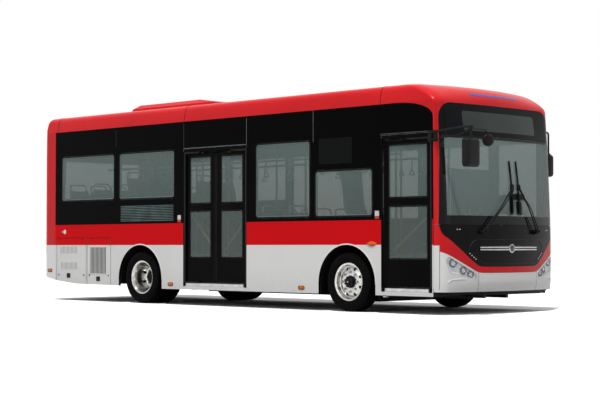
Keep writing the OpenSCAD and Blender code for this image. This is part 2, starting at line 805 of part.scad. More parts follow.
module front_axle() color("dimgray") {
    drop = [[-905, axle_z - 48], [-790, axle_z - 48], [-600, beam_low], [600, beam_low], [790, axle_z - 48],
        [905, axle_z - 48], [905, axle_z + 48], [760, axle_z + 48], [570, beam_low + 58],
        [-570, beam_low + 58], [-760, axle_z + 48], [-905, axle_z + 48]];
    difference() {
        union() {
            from_front(drop, front_axle_x - beam_x, front_axle_x + beam_x);
            for (s = [-1, 1]) translate([front_axle_x, s * king_y, axle_z - 58]) cylinder(r = 50, h = 116);
        }
        for (s = [-1, 1])
            translate([front_axle_x, s * king_y, 0]) cylinder(r = 22 + run_gap, h = 900);
    }
}

// Knuckle of the left side: ears, kingpin, web, spindle and steering arm
spindle_r = 45;
module knuckle() {
    translate([front_axle_x, king_y, axle_z - 100]) cylinder(r = 22, h = 200);
    for (z = [axle_z - 100, axle_z + 63]) {
        translate([front_axle_x, king_y, z]) cylinder(r = 50, h = 37);
        span([front_axle_x - 40, king_y, z], [front_axle_x + 40, king_y + 80, z + 37]);
    }
    span([front_axle_x - 40, king_y + 58, axle_z - 100], [front_axle_x + 40, king_y + 80, axle_z + 100]);
    along_y(front_axle_x, axle_z, king_y + 60, wheel_y + 60, spindle_r);
    // steering arm down to the tie rod
    span([front_axle_x - rod_back, king_y - 14, axle_z - 100], [front_axle_x, king_y + 14, axle_z - 70]);
    span([front_axle_x - rod_back - 16, king_y - 14, rod_z + 20], [front_axle_x - rod_back + 16, king_y + 14, axle_z - 70]);
    translate([front_axle_x - rod_back, king_y, rod_z - 20]) cylinder(r = 9, h = 45);
}
module left_knuckle() color("dimgray") knuckle();
module right_knuckle() color("dimgray") on_side(-1) knuckle();

module tie_rod() color("gray")
    difference() {
        union() {
            along_rod(king_y);
            for (s = [-1, 1])
                translate([front_axle_x - rod_back, s * king_y, rod_z - 15]) cylinder(r = 18, h = 30);
        }
        for (s = [-1, 1])
            translate([front_axle_x - rod_back, s * king_y, 0]) cylinder(r = 9 + run_gap, h = 400);
    }
module along_rod(y) along_y(front_axle_x - rod_back, rod_z, -y, y, 13);

spring_y = 532;
module rear_axle() color("dimgray") {
    along_y(rear_axle_x, axle_z, -flange_y - 40, flange_y + 40, 59);
    along_y(rear_axle_x, axle_z, -twin_y + 150, twin_y - 150, 80);
    translate([rear_axle_x, 0, axle_z]) sphere(r = 150);
    along_x(0, axle_z, motor_x[1] + 1, rear_axle_x, 60);
    for (s = [-1, 1])
        span([rear_axle_x - 68, s * spring_y - 68, axle_z + 40], [rear_axle_x + 68, s * spring_y + 68, axle_z + 95]);
}

module air_springs() color("black") {
    for (s = [-1, 1]) {
        translate([rear_axle_x, s * spring_y, axle_z + 95 + touch]) cylinder(r = 68, h = deck_z - floor_t - axle_z - 95 - 2 * touch);
        translate([front_axle_x, s * 530, beam_low + 58 + touch])
            cylinder(r = 38, h = floor_z - floor_t - beam_low - 58 - 2 * touch);
    }
}

// Wheels, drawn for the left side with +Y outwards
bead_y = 87;                   // half width between the beads
lip_y = 98;                    // inner face of the rim's flange
lip_h = 13;                    // height of the flange over the bead seat
function tyre_outline() = concat(
    [[rim_r + touch, -bead_y], [rim_r + lip_h + touch, -lip_y + 1], [rim_r + lip_h + 1, -lip_y - 7],
    [rim_r + 22, -tyre_w / 2 + 8], [rim_r + 70, -tyre_w / 2],
    [tyre_r - 30, -tyre_w / 2 + 8]],
    arc([tyre_r - 16, -tyre_w / 2 + 30], 16, -60, 0, 3),
    arc([tyre_r - 16, tyre_w / 2 - 30], 16, 0, 60, 3),
    [[tyre_r - 30, tyre_w / 2 - 8], [rim_r + 70, tyre_w / 2], [rim_r + 22, tyre_w / 2 - 8],
    [rim_r + lip_h + 1, lip_y + 7], [rim_r + lip_h + touch, lip_y - 1], [rim_r + touch, bead_y]]);

module tyre(x, y)
    translate([x, y, axle_z]) rotate([-90, 0, 0]) rotate_extrude($fn = 96) polygon(tyre_outline());

// Rim ring: bead seats, flanges and well, centred on y = 0 and outwards +
function rim_outline() = [[rim_r, -bead_y - 1], [rim_r + lip_h, -lip_y], [rim_r + lip_h, -104], [rim_r + 2, -104],
    [rim_r - 10, -96], [rim_r - 12, -60], [rim_r - 34, -40], [rim_r - 34, 40], [rim_r - 12, 60],
    [rim_r - 10, 96], [rim_r + 2, 104], [rim_r + lip_h, 104], [rim_r + lip_h, lip_y], [rim_r, bead_y + 1],
    [rim_r - 2, 62], [rim_r - 24, 38], [rim_r - 24, -38], [rim_r - 2, -62]];

module rim(x, y)
    translate([x, y, axle_z]) rotate([-90, 0, 0]) rotate_extrude($fn = 96) polygon(rim_outline());

// Wheel disc with eight hand holes; bolt face at y0, rim joint at y1
hand_holes = 8;
module disc(x, y0, y1) {
    t = 12;
    translate([x, 0, axle_z]) rotate([-90, 0, 0])
        difference() {
            rotate_extrude($fn = 96)
                polygon([[70, y0], [165, y0], [190, y0 + (y1 - y0) * 0.45], [rim_r - 30, y1],
                    [rim_r - 30, y1 + t], [186, y0 + (y1 - y0) * 0.45 + t], [161, y0 + t], [70, y0 + t]]);
            for (i = [0:hand_holes - 1])
                rotate((i + 0.5) * 360 / hand_holes) translate([187, 0, min(y0, y1) - 60]) cylinder(r = 21, h = 200);
        }
}

module nuts(x, y0, y1)
    for (i = [0:hand_holes - 1])
        translate([x, 0, axle_z]) rotate([-90, 0, 0])
            rotate(i * 360 / hand_holes) translate([stud_pcd / 2, 0, y0]) cylinder(r = 14, h = y1 - y0);

module front_wheel() {
    face = wheel_y + 66;
    rim(front_axle_x, wheel_y);
    disc(front_axle_x, face, wheel_y + 34);
    nuts(front_axle_x, face - 8, face + 38);
    // hub, brake drum and the bore that runs on the spindle
    difference() {
        union() {
            along_y(front_axle_x, axle_z, king_y + 90, face + 6, 110);
            along_y(front_axle_x, axle_z, king_y + 88, wheel_y + 20, 196);
            along_y(front_axle_x, axle_z, face, face + 62, 72);
        }
        along_y(front_axle_x, axle_z, king_y, wheel_y + 61, spindle_r + run_gap);
        along_y(front_axle_x, axle_z, king_y, wheel_y + 5, 178);
    }
    difference() {
        along_y(front_axle_x, axle_z, king_y + 92, wheel_y + 30, 75);
        along_y(front_axle_x, axle_z, king_y, wheel_y + 61, spindle_r + run_gap);
    }
}

module rear_wheels() {
    for (y = [wheel_y, twin_y]) rim(rear_axle_x, y);
    disc(rear_axle_x, flange_y, wheel_y - 52);
    disc(rear_axle_x, flange_y - 12, twin_y + 40);
    nuts(rear_axle_x, flange_y - 20, flange_y + 42);
    difference() {
        union() {
            along_y(rear_axle_x, axle_z, twin_y - 60, flange_y + 14, 115);
            along_y(rear_axle_x, axle_z, twin_y - 90, flange_y - 20, 190);
            along_y(rear_axle_x, axle_z, flange_y, flange_y + 85, 88);
        }
        along_y(rear_axle_x, axle_z, 0, flange_y + 41, 59 + run_gap);
        difference() {
            along_y(rear_axle_x, axle_z, 0, flange_y - 45, 172);
            along_y(rear_axle_x, axle_z, twin_y - 90, big, 85);
        }
    }
}

module front_left_tyre() color("black") tyre(front_axle_x, wheel_y);
module front_right_tyre() color("black") on_side(-1) tyre(front_axle_x, wheel_y);
module rear_left_tyres() color("black") for (y = [wheel_y, twin_y]) tyre(rear_axle_x, y);
module rear_right_tyres() color("black") on_side(-1) for (y = [wheel_y, twin_y]) tyre(rear_axle_x, y);
module front_left_wheel() color("silver") front_wheel();
module front_right_wheel() color("silver") on_side(-1) front_wheel();
module rear_left_wheels() color("silver") rear_wheels();
module rear_right_wheels() color("silver") on_side(-1) rear_wheels();

// Doors. A leaf hangs on two arms of a turning post at half its length,
// and a roller at its leading edge runs in a track over the doorway.
// The doorway's edge is at x, and dir points from it into the doorway.

function leaf_w(w, n) = (w - (n == 1 ? 2 * leaf_gap : 3 * leaf_gap)) / n;
function arm_len(w, n) = (leaf_w(w, n) - lead - trail) / 2;

arm_z = [floor_z + 6, leaf_top + 11];

module door_post(x, dir, a) color("black") {
    px = x + dir * post_in;
    translate([px, -post_y, floor_z + touch]) cylinder(r = post_r, h = track_low - floor_z - 2 * touch);
    for (z = arm_z)
        difference() {
            union() {
                span([min(px, px + dir * a), -post_y - 15, z], [max(px, px + dir * a), -post_y + 15, z + arm_h]);
                translate([px + dir * a, -post_y, z]) cylinder(r = 20, h = arm_h);
            }
            translate([px + dir * a, -post_y, z - 1]) cylinder(r = 9 + run_gap, h = arm_h + 2);
        }
}

// Glass openings of a leaf as [z0, z1]
leaf_glass = [[734, 1424], [1552, 2245]];

module leaf_panes(x, dir, w, side_in, grow) {
    x0 = x + dir * (leaf_gap + side_in) ;
    x1 = x + dir * (leaf_gap + w - side_in);
    for (z = leaf_glass)
        from_side(rounded(min(x0, x1) - grow, z[0] - grow, max(x0, x1) + grow, z[1] + grow, 14 + grow), -half_w, 0);
}

module door_leaf(x, dir, w, side_in) color("black") {
    px = x + dir * post_in;
    a = (w - lead - trail) / 2;
    y0 = -post_y + leaf_off - leaf_t / 2;
    x0 = min(x + dir * leaf_gap, x + dir * (leaf_gap + w));
    difference() {
        span([x0, y0, leaf_low], [x0 + w, y0 + leaf_t, leaf_top]);
        leaf_panes(x, dir, w, side_in, 0);
        intersection() {
            leaf_panes(x, dir, w, side_in, 12);
            span([0, y0 - 1, 0], [body_l, y0 + glass_t + 2, big]);
        }
    }
    // brackets with pivot pins above and below, and the roller
    for (z = [[leaf_low - 8, arm_z[0] + 1, leaf_low], [leaf_top, leaf_top + 8, arm_z[1] + arm_h]]) {
        plate = z[0] < leaf_top ? z[0] : leaf_top;
        span([px + dir * a - 18, -post_y - 12, plate], [px + dir * a + 18, y0 + 4, plate + 8]);
        translate([px + dir * a, -post_y, z[1]]) cylinder(r = 9, h = z[2] - z[1]);
    }
    span([px + dir * 2 * a - 14, -post_y - 12, leaf_top - 1], [px + dir * 2 * a + 14, y0 + 4, leaf_top + 8]);
    translate([px + dir * 2 * a, -post_y, leaf_top]) cylinder(r = roller_r, h = track_low + 25 - leaf_top);
}

module door_glass(x, dir, w, side_in) color("slategray", 0.5)
    intersection() {
        leaf_panes(x, dir, w, side_in, 12 - touch);
        span([0, -post_y + leaf_off - leaf_t / 2, 0], [body_l, -post_y + leaf_off - leaf_t / 2 + glass_t + 1, big]);
    }

rear_leaf = leaf_w(rear_door_w, 2);
front_leaf = leaf_w(front_door_w, 1);
rear_edge = rear_door_x + rear_door_w;
front_edge = front_door_x + front_door_w;

module front_door_post() door_post(front_edge, -1, arm_len(front_door_w, 1));
module front_door_leaf() door_leaf(front_edge, -1, front_leaf, 104);
module front_door_glass() door_glass(front_edge, -1, front_leaf, 104);
module rear_door_aft_post() door_post(rear_door_x, 1, arm_len(rear_door_w, 2));
module rear_door_aft_leaf() door_leaf(rear_door_x, 1, rear_leaf, 118);
module rear_door_aft_glass() door_glass(rear_door_x, 1, rear_leaf, 118);
module rear_door_fore_post() door_post(rear_edge, -1, arm_len(rear_door_w, 2));
module rear_door_fore_leaf() door_leaf(rear_edge, -1, rear_leaf, 118);
module rear_door_fore_glass() door_glass(rear_edge, -1, rear_leaf, 118);

// Channels over the doorways that guide the rollers
module door_tracks() color("gray")
    for (d = [[rear_door_x, rear_door_w], [front_door_x, front_door_w]])
        difference() {
            span([d[0] + touch, -half_w + 1, track_low], [d[0] + d[1] - touch, -post_y + 20, door_top - touch]);
            span([d[0] + post_in, -post_y - roller_r - 2, track_low - 1],
                [d[0] + d[1] - post_in, -post_y + roller_r + 2, track_low + 30]);
        }

place() underframe();
place() cabin_floor();
place() wheel_housings();
place() right_wall();
place() left_wall();
place() roof_panel();
place() front_cap();
place() front_band();
place() front_mask();
place() front_bumper();
place() windscreen();
place() right_windows();
place() left_windows();
place() rear_window();
place() rear_cap();
place() rear_bumper();
place() headlamps();
place() tail_lamps();
place() roof_pod();
place() driver_seat();
place() passenger_seats();
place() grab_rails();
place() dashboard();
place() cab_partition();
place() steering_wheel();
place() right_mirror();
place() left_mirror();
place() wipers();
place() battery_pack();
place() drive_motor();
place() air_springs();
place() front_axle();
place() rear_axle();
place() left_knuckle();
place() right_knuckle();
place() tie_rod();
place() front_left_tyre();
place() front_right_tyre();
place() rear_left_tyres();
place() rear_right_tyres();
place() front_left_wheel();
place() front_right_wheel();
place() rear_left_wheels();
place() rear_right_wheels();
place() door_tracks();
place() front_door_post();
place() front_door_leaf();
place() front_door_glass();
place() rear_door_aft_post();
place() rear_door_aft_leaf();
place() rear_door_aft_glass();
place() rear_door_fore_post();
place() rear_door_fore_leaf();
place() rear_door_fore_glass();
place() service_door(aft_hatch);  // aft_service_door
place() service_door(fore_hatch);  // fore_service_door
place() engine_door();
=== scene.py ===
"""Looks of the city bus: paint, glass, lamps, wheels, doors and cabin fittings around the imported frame."""
import math

import bpy
from mathutils import Matrix, Vector


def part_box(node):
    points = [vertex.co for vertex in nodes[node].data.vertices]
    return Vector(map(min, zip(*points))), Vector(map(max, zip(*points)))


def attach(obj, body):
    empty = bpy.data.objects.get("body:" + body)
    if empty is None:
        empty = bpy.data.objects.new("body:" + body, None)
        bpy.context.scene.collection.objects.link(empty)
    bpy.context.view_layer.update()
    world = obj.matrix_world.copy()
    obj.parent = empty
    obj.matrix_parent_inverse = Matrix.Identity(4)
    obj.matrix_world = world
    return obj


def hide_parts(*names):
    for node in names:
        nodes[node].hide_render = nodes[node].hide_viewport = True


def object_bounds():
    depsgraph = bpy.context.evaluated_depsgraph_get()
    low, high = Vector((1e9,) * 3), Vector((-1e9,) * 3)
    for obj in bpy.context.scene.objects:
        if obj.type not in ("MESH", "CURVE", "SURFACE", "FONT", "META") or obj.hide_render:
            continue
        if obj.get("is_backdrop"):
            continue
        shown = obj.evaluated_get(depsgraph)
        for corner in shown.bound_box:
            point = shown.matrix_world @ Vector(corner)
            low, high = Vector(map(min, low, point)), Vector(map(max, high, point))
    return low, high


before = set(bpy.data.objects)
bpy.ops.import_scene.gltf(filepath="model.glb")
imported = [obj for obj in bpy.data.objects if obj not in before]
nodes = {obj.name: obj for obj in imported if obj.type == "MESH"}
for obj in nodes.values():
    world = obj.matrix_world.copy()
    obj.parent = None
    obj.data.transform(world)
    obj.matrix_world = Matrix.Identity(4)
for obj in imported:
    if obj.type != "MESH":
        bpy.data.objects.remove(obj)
box_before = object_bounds()

# Camera. It stands by the road, ahead of the door side, at the height of the
# bumper's top, and looks slightly up. Stations run forward from the rear end.
tail_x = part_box("rear_bumper")[0].x
half_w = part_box("left_wall")[1].y


def at(station):
    return tail_x + station


camera_data = bpy.data.cameras.new("camera")
camera_data.sensor_width = 36
camera_data.lens = 91.62
camera_data.clip_end = 300
camera = bpy.data.objects.new("camera", camera_data)
bpy.context.scene.collection.objects.link(camera)
bpy.context.scene.camera = camera
camera.location = (at(21.415), -16.481, 0.897)
camera_aim = Vector((-0.7064, 0.707, 0.0303))
camera.rotation_euler = camera_aim.to_track_quat("-Z", "Y").to_euler()

# Studio. A pale floor, a white surround and soft lamps at a plain level, so
# that paint renders about as it is written.


def linear(code, alpha=1.0):
    """sRGB hex to linear colour."""
    parts = [int(code[i:i + 2], 16) / 255 for i in (1, 3, 5)]
    return tuple(c / 12.92 if c <= 0.04045 else ((c + 0.055) / 1.055) ** 2.4 for c in parts) + (alpha,)


def add_node(tree, kind, inputs=None, **settings):
    """Adds a node, sets its properties, and links or fills its inputs."""
    made = tree.nodes.new("ShaderNode" + kind)
    for key, value in settings.items():
        setattr(made, key, value)
    for key, value in (inputs or {}).items():
        if isinstance(value, bpy.types.NodeSocket):
            tree.links.new(value, made.inputs[key])
        else:
            made.inputs[key].default_value = value
    return made


def start_material(name):
    """An empty material with its output node, and its tree."""
    material = bpy.data.materials.new(name)
    material.use_nodes = True
    tree = material.node_tree
    tree.nodes.clear()
    return material, tree, tree.nodes.new("ShaderNodeOutputMaterial")


def backdrop_rays(tree):
    """1 for the rays that show the backdrop: seen directly, in a mirror, or through glass."""
    path = add_node(tree, "LightPath")
    first = add_node(tree, "Math", {0: path.outputs["Is Camera Ray"], 1: path.outputs["Is Glossy Ray"]},
        operation="MAXIMUM")
    return add_node(tree, "Math", {0: first.outputs[0], 1: path.outputs["Is Transmission Ray"]},
        operation="MAXIMUM").outputs[0]


scene = bpy.context.scene
scene.view_settings.view_transform = "Standard"

world = bpy.data.worlds.new("studio")
scene.world = world
world.use_nodes = True
world.node_tree.nodes.clear()
world_out = world.node_tree.nodes.new("ShaderNodeOutputWorld")
sky_height = add_node(world.node_tree, "SeparateXYZ",
    {"Vector": add_node(world.node_tree, "TexCoord").outputs["Generated"]})
sky_ramp = add_node(world.node_tree, "ValToRGB", {"Fac": sky_height.outputs["Z"]})
sky_ramp.color_ramp.elements[0].position = 0.0
sky_ramp.color_ramp.elements[0].color = (0.1, 0.105, 0.11, 1)
sky_ramp.color_ramp.elements[1].position = 0.55
sky_ramp.color_ramp.elements[1].color = (0.97, 0.98, 1.0, 1)
sky = add_node(world.node_tree, "Background", {"Color": sky_ramp.outputs["Color"], "Strength": 0.6})
white = add_node(world.node_tree, "Background", {"Color": (1, 1, 1, 1), "Strength": 1.0})
shown = backdrop_rays(world.node_tree)
mixed = add_node(world.node_tree, "MixShader", {0: shown, 1: sky.outputs[0], 2: white.outputs[0]})
world.node_tree.links.new(mixed.outputs[0], world_out.inputs["Surface"])

floor_mesh = bpy.data.meshes.new("floor")
reach = 120.0
floor_mesh.from_pydata([(-reach, -reach, 0), (reach, -reach, 0), (reach, reach, 0), (-reach, reach, 0)],
    [], [(0, 1, 2, 3)])
floor = bpy.data.objects.new("floor", floor_mesh)
scene.collection.objects.link(floor)
floor_paint, tree, out = start_material("studio_floor")
floor_shader = add_node(tree, "BsdfDiffuse", {"Color": linear("#909090")})
floor_bright = add_node(tree, "BsdfDiffuse", {"Color": (1.0, 1.0, 1.0, 1)})
floor_mix = add_node(tree, "MixShader", {0: backdrop_rays(tree), 1: floor_shader.outputs[0],
    2: floor_bright.outputs[0]})
tree.links.new(floor_mix.outputs[0], out.inputs["Surface"])
floor_mesh.materials.append(floor_paint)
floor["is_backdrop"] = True


def lamp(name, kind, place, aim, power, size):
    """A lamp at a place that points at a spot."""
    data = bpy.data.lights.new(name, kind)
    data.energy = power
    if kind == "AREA":
        data.size = size
    else:
        data.angle = size
    made = bpy.data.objects.new(name, data)
    scene.collection.objects.link(made)
    made.location = place
    made.rotation_euler = (Vector(aim) - Vector(place)).to_track_quat("-Z", "Y").to_euler()


lamp("key", "SUN", (3, -6.5, 22), (0, 0, 1), 3.0, 0.06)
lamp("side_fill", "AREA", (2, -17, 7), (0, 0, 1.4), 410, 12)
lamp("nose_fill", "AREA", (17, -2, 6), (3, 0, 1.4), 110, 9)

# Side walls. Steel frame clad with bonded aluminium sheet, sprayed in three
# zones: pale skirt, red waist and a black window band, with grey inner linings.
waist_z, belt_z, cove_z = 0.916, 1.252, 2.805


socket_names = {"spec": "Specular IOR Level", "metal": "Metallic", "coat": "Coat Weight",
    "coat_rough": "Coat Roughness", "ior": "IOR", "alpha": "Alpha", "sheen": "Sheen Weight"}


def surface(name, light, dark, roughness, patch=0.05, relief=0.002, depth=0.1, **sockets):
    """A material whose colour drifts between two tones in patches and whose skin has a
    fine relief. Patch and relief are sizes in metres; constants go on the shader."""
    material, tree, out = start_material(name)
    spot = add_node(tree, "TexCoord").outputs["Object"]
    drift = add_node(tree, "TexNoise", {"Vector": spot, "Scale": 1 / patch, "Detail": 4.0})
    tone = add_node(tree, "ValToRGB", {"Fac": drift.outputs["Fac"]})
    tone.color_ramp.elements[0].position, tone.color_ramp.elements[1].position = 0.35, 0.65
    tone.color_ramp.elements[0].color, tone.color_ramp.elements[1].color = linear(dark), linear(light)
    skin = add_node(tree, "TexNoise", {"Vector": spot, "Scale": 1 / relief, "Detail": 2.0})
    bump = add_node(tree, "Bump", {"Height": skin.outputs["Fac"], "Strength": depth,
        "Distance": relief / 2})
    shader = add_node(tree, "BsdfPrincipled",
        {"Base Color": tone.outputs["Color"], "Normal": bump.outputs["Normal"], "Roughness": roughness,
        **{socket_names[key]: value for key, value in sockets.items()}})
    tree.links.new(shader.outputs[0], out.inputs["Surface"])
    return material


def parts_of(material):
    """The tree, shader and Object coordinates of a material made by surface()."""
    tree = material.node_tree
    shader = next(n for n in tree.nodes if n.type == "BSDF_PRINCIPLED")
    spot = next(n for n in tree.nodes if n.type == "TEX_COORD").outputs["Object"]
    return tree, shader, spot


def above(tree, value, limit, softness=0.0005):
    """1 where value is over a limit, 0 where it is under it, with a narrow soft edge."""
    return add_node(tree, "MapRange", {"Value": value, "From Min": limit - softness, "From Max": limit
        + softness}).outputs[0]


def blend_colour(tree, share, first, second):
    """Mixes two colours; share 0 gives the first."""
    mix = add_node(tree, "Mix", {"Factor": share}, data_type="RGBA")
    for index, colour in ((6, first), (7, second)):
        if isinstance(colour, str):
            mix.inputs[index].default_value = linear(colour)
        else:
            tree.links.new(colour, mix.inputs[index])
    return mix.outputs[2]


def darker_low_down(tree, spot, low, high):
    """Share of a darker tone: full at height low, none at height high, broken up by noise."""
    height = add_node(tree, "SeparateXYZ", {"Vector": spot}).outputs["Z"]
    fade = add_node(tree, "MapRange", {"Value": height, "From Min": high, "From Max": low,
        "To Max": 0.3}).outputs[0]
    breakup = add_node(tree, "TexNoise", {"Vector": spot, "Scale": 9.0, "Detail": 6.0})
    return add_node(tree, "Math", {0: fade, 1: breakup.outputs["Fac"]}, operation="MULTIPLY").outputs[0]


# acrylic coach paint: glossy and even, with a faint orange peel, and darker towards the bottom
pale_tone, red_tone, black_tone = "#E0E0DE", "#D2141A", "#020202"
wall_paint = surface("acrylic_coach_paint_in_zones", "#DFDFDD", "#D8D8D6", 0.3, patch=1.5, relief=0.006,
    depth=0.02, spec=0.02)
tree, shader, spot = parts_of(wall_paint)
pale = shader.inputs["Base Color"].links[0].from_socket
place = add_node(tree, "SeparateXYZ", {"Vector": spot})
side = add_node(tree, "Math", {0: place.outputs["Y"]}, operation="ABSOLUTE").outputs[0]
pale = blend_colour(tree, darker_low_down(tree, spot, 0.2, 0.6), pale, "#8B8880")
zones = blend_colour(tree, above(tree, place.outputs["Z"], waist_z), pale, red_tone)
zones = blend_colour(tree, above(tree, place.outputs["Z"], belt_z), zones, black_tone)
lining = blend_colour(tree, above(tree, side, half_w - 0.0435), "#8E9291", "#0C0C0C")
shell = blend_colour(tree, above(tree, side, half_w - 0.0015), lining, zones)
tree.links.new(shell, shader.inputs["Base Color"])


def coat(node, *materials):
    """Gives a CAD node its materials."""
    mesh = nodes[node].data
    mesh.materials.clear()
    for material in materials:
        mesh.materials.append(material)


for node in ("right_wall", "left_wall", "aft_service_door", "fore_service_door"):
    coat(node, wall_paint)


def deselect():
    if bpy.context.mode != "OBJECT":
        bpy.ops.object.mode_set(mode="OBJECT")
    bpy.ops.object.select_all(action="DESELECT")


def pick(piece):
    deselect()
    piece.select_set(True)
    bpy.context.view_layer.objects.active = piece
    return piece


def settle(piece):
    """Writes a piece's place, turn and size into its mesh."""
    pick(piece)
    bpy.ops.object.transform_apply(location=True, rotation=True, scale=True)
    return piece


def edit_all(piece):
    """Opens a piece in edit mode with everything selected."""
    pick(piece)
    bpy.ops.object.mode_set(mode="EDIT")
    bpy.ops.mesh.select_all(action="SELECT")


def block(name, low, high, edge=0.003, segments=2):
    """A box from corner to corner with rounded edges."""
    deselect()
    low, high = Vector(low), Vector(high)
    bpy.ops.mesh.primitive_cube_add(size=1, location=(low + high) / 2, scale=high - low)
    piece = settle(bpy.context.object)
    piece.name = name
    if edge:
        bpy.ops.object.mode_set(mode="EDIT")
        bpy.ops.mesh.select_all(action="SELECT")
        bpy.ops.mesh.bevel(offset=edge, segments=segments, affect="EDGES")
        bpy.ops.object.mode_set(mode="OBJECT")
    return piece


def smooth(piece, angle=35):
    pick(piece)
    bpy.ops.object.shade_smooth_by_angle(angle=math.radians(angle))
    return piece


def join(name, pieces):
    """Makes one piece of several."""
    deselect()
    for piece in pieces:
        piece.select_set(True)
    bpy.context.view_layer.objects.active = pieces[0]
    if len(pieces) > 1:
        bpy.ops.object.join()
    pieces[0].name = name
    return pieces[0]


def fit(piece, material, body="bus_body", hides=(), angle=35):
    """Gives a finished piece its finish, and fixes it to its body."""
    smooth(piece, angle)
    if material is not None:
        piece.data.materials.clear()
        piece.data.materials.append(material)
    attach(piece, body)
    if hides:
        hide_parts(*hides)
    return piece


def from_faces(name, points, faces):
    mesh = bpy.data.meshes.new(name)
    mesh.from_pydata([tuple(p) for p in points], [], faces)
    piece = bpy.data.objects.new(name, mesh)
    scene.collection.objects.link(piece)
    return piece


def tidy_mesh(piece, reach=0.0001):
    """Merges doubled points and turns all faces outwards."""
    edit_all(piece)
    bpy.ops.mesh.remove_doubles(threshold=reach)
    bpy.ops.mesh.normals_make_consistent(inside=False)
    bpy.ops.object.mode_set(mode="OBJECT")
    return piece


def modify(piece, kind, **settings):
    """Adds a modifier and applies it."""
    pick(piece)
    modifier = piece.modifiers.new(kind.lower(), kind)
    for key, value in settings.items():
        setattr(modifier, key, value)
    bpy.ops.object.modifier_apply(modifier=modifier.name)
    return piece


# Window seals. Each bonded pane sits in a black rubber profile that stands a
# little proud of the sheet and is rounded at the corners.
rubber = surface("epdm_rubber_profile", "#0C0C0C", "#070707", 0.6, depth=0.15, spec=0.08)
seal_w, seal_proud = 0.014, 0.0025


def rounded(x0, z0, x1, z1, radius, steps=6):
    """Corner points of a rounded rectangle, anticlockwise."""
    points = []
    for cx, cz, start in ((x1 - radius, z0 + radius, -90), (x1 - radius, z1 - radius, 0),
            (x0 + radius, z1 - radius, 90), (x0 + radius, z0 + radius, 180)):
        for i in range(steps + 1):
            a = math.radians(start + 90 * i / steps)
            points.append((cx + radius * math.cos(a), cz + radius * math.sin(a)))
    return points


def ring(name, outer, inner, place, depth):
    """A frame between two outlines of as many points. place(a, b, d) gives the point at
    outline place (a, b) and height d over the surface; depth is its two heights."""
    n = len(outer)
    points = [place(a, b, d) for d in depth for a, b in outer] + [place(a, b, d) for d in depth
        for a, b in inner]
    faces = []
    for i in range(n):
        j = (i + 1) % n
        faces += [(i, j, n + j, n + i), (2 * n + j, 2 * n + i, 3 * n + i, 3 * n + j),
            (n + i, n + j, 3 * n + j, 3 * n + i), (j, i, 2 * n + i, 2 * n + j)]
    return tidy_mesh(from_faces(name, points, faces))


def on_wall(sign):
    """Places an outline given in stations and heights on one side wall."""
    return lambda x, z, d: (at(x), sign * (half_w + d), z)


win_top = 2.372
right_panes = [(0.551, 1.939, 1.654, win_top), (2.086, 3.426, 1.654, win_top),
    (5.272, 6.36, 1.315, win_top), (6.48, 7.543, 1.315, 1.939)]
left_panes = right_panes[:2] + [(3.573, 4.95, 1.315, win_top), (5.097, 6.3, 1.315, win_top),
    (6.447, 7.65, 1.315, win_top), (7.797, 8.5, 1.2, win_top)]
for sign, panes, name in ((-1, right_panes, "right_window_seals"), (1, left_panes, "left_window_seals")):
    seals = []
    for x0, x1, z0, z1 in panes:
        seals.append(ring("seal", rounded(x0 - seal_w, z0 - seal_w, x1 + seal_w, z1 + seal_w,
            0.04 + seal_w), rounded(x0 + 0.004, z0 + 0.004, x1 - 0.004, z1 - 0.004, 0.036), on_wall(sign),
            (-0.003, seal_proud)))
    fit(join(name, seals), rubber)

# Glass. Toughened body-tinted panes, bonded from outside, so they show a grey
# green tone with the cabin faint behind them.
glass = surface("tinted_toughened_glass", "#6E837F", "#677B77", 0.03, patch=2.5, relief=0.4, depth=0.004,
    ior=1.5, alpha=0.5, spec=0.35)
tree, shader, spot = parts_of(glass)
height = add_node(tree, "SeparateXYZ", {"Vector": spot}).outputs["Z"]
upper = shader.inputs["Base Color"].links[0].from_socket
# the panes are painted darker from 2.1 m down to 1.3 m: painted shade
lower_pane_shade = add_node(tree, "MapRange", {"Value": height, "From Min": 2.1, "From Max": 1.3}).outputs[0]
tree.links.new(blend_colour(tree, lower_pane_shade, upper, "#5E6C68"), shader.inputs["Base Color"])
for node in ("right_windows", "left_windows", "rear_window", "front_door_glass", "rear_door_aft_glass",
        "rear_door_fore_glass"):
    coat(node, glass)
# a thin pale ring just inside each pane's border: a painted highlight for the light that the glass's edge
# catches
glass_edge_highlight = surface("painted_glass_edge_highlight", "#6E7F7B", "#62726E", 0.4, patch=0.2, depth=0.05, spec=0.2)
for sign, panes, name in ((-1, right_panes, "right_glass_edge_highlights"), (1, left_panes, "left_glass_edge_highlights")):
    edges = [ring("edge", rounded(x0 + 0.006, z0 + 0.006, x1 - 0.006, z1 - 0.006, 0.034),
        rounded(x0 + 0.017, z0 + 0.017, x1 - 0.017, z1 - 0.017, 0.024), on_wall(sign), (-0.0015, -0.0005))
        for x0, x1, z0, z1 in panes]
    fit(join(name, edges), glass_edge_highlight)

# Roof. Glass-fibre panels in red, with rounded coves along both sides; the
# seams between them are filled with dark sealant.
red_paint = surface("red_acrylic_coach_paint", "#CF181E", "#C3131A", 0.3, patch=1.8, relief=0.006,
    depth=0.02, spec=0.12, coat=0.06, coat_rough=0.12)
pale_paint = surface("pale_acrylic_coach_paint", "#E0E0DE", "#DADAD8", 0.3, patch=1.2, relief=0.006,
    depth=0.02, spec=0.15, coat=0.08, coat_rough=0.1)
roof_top = 3.085


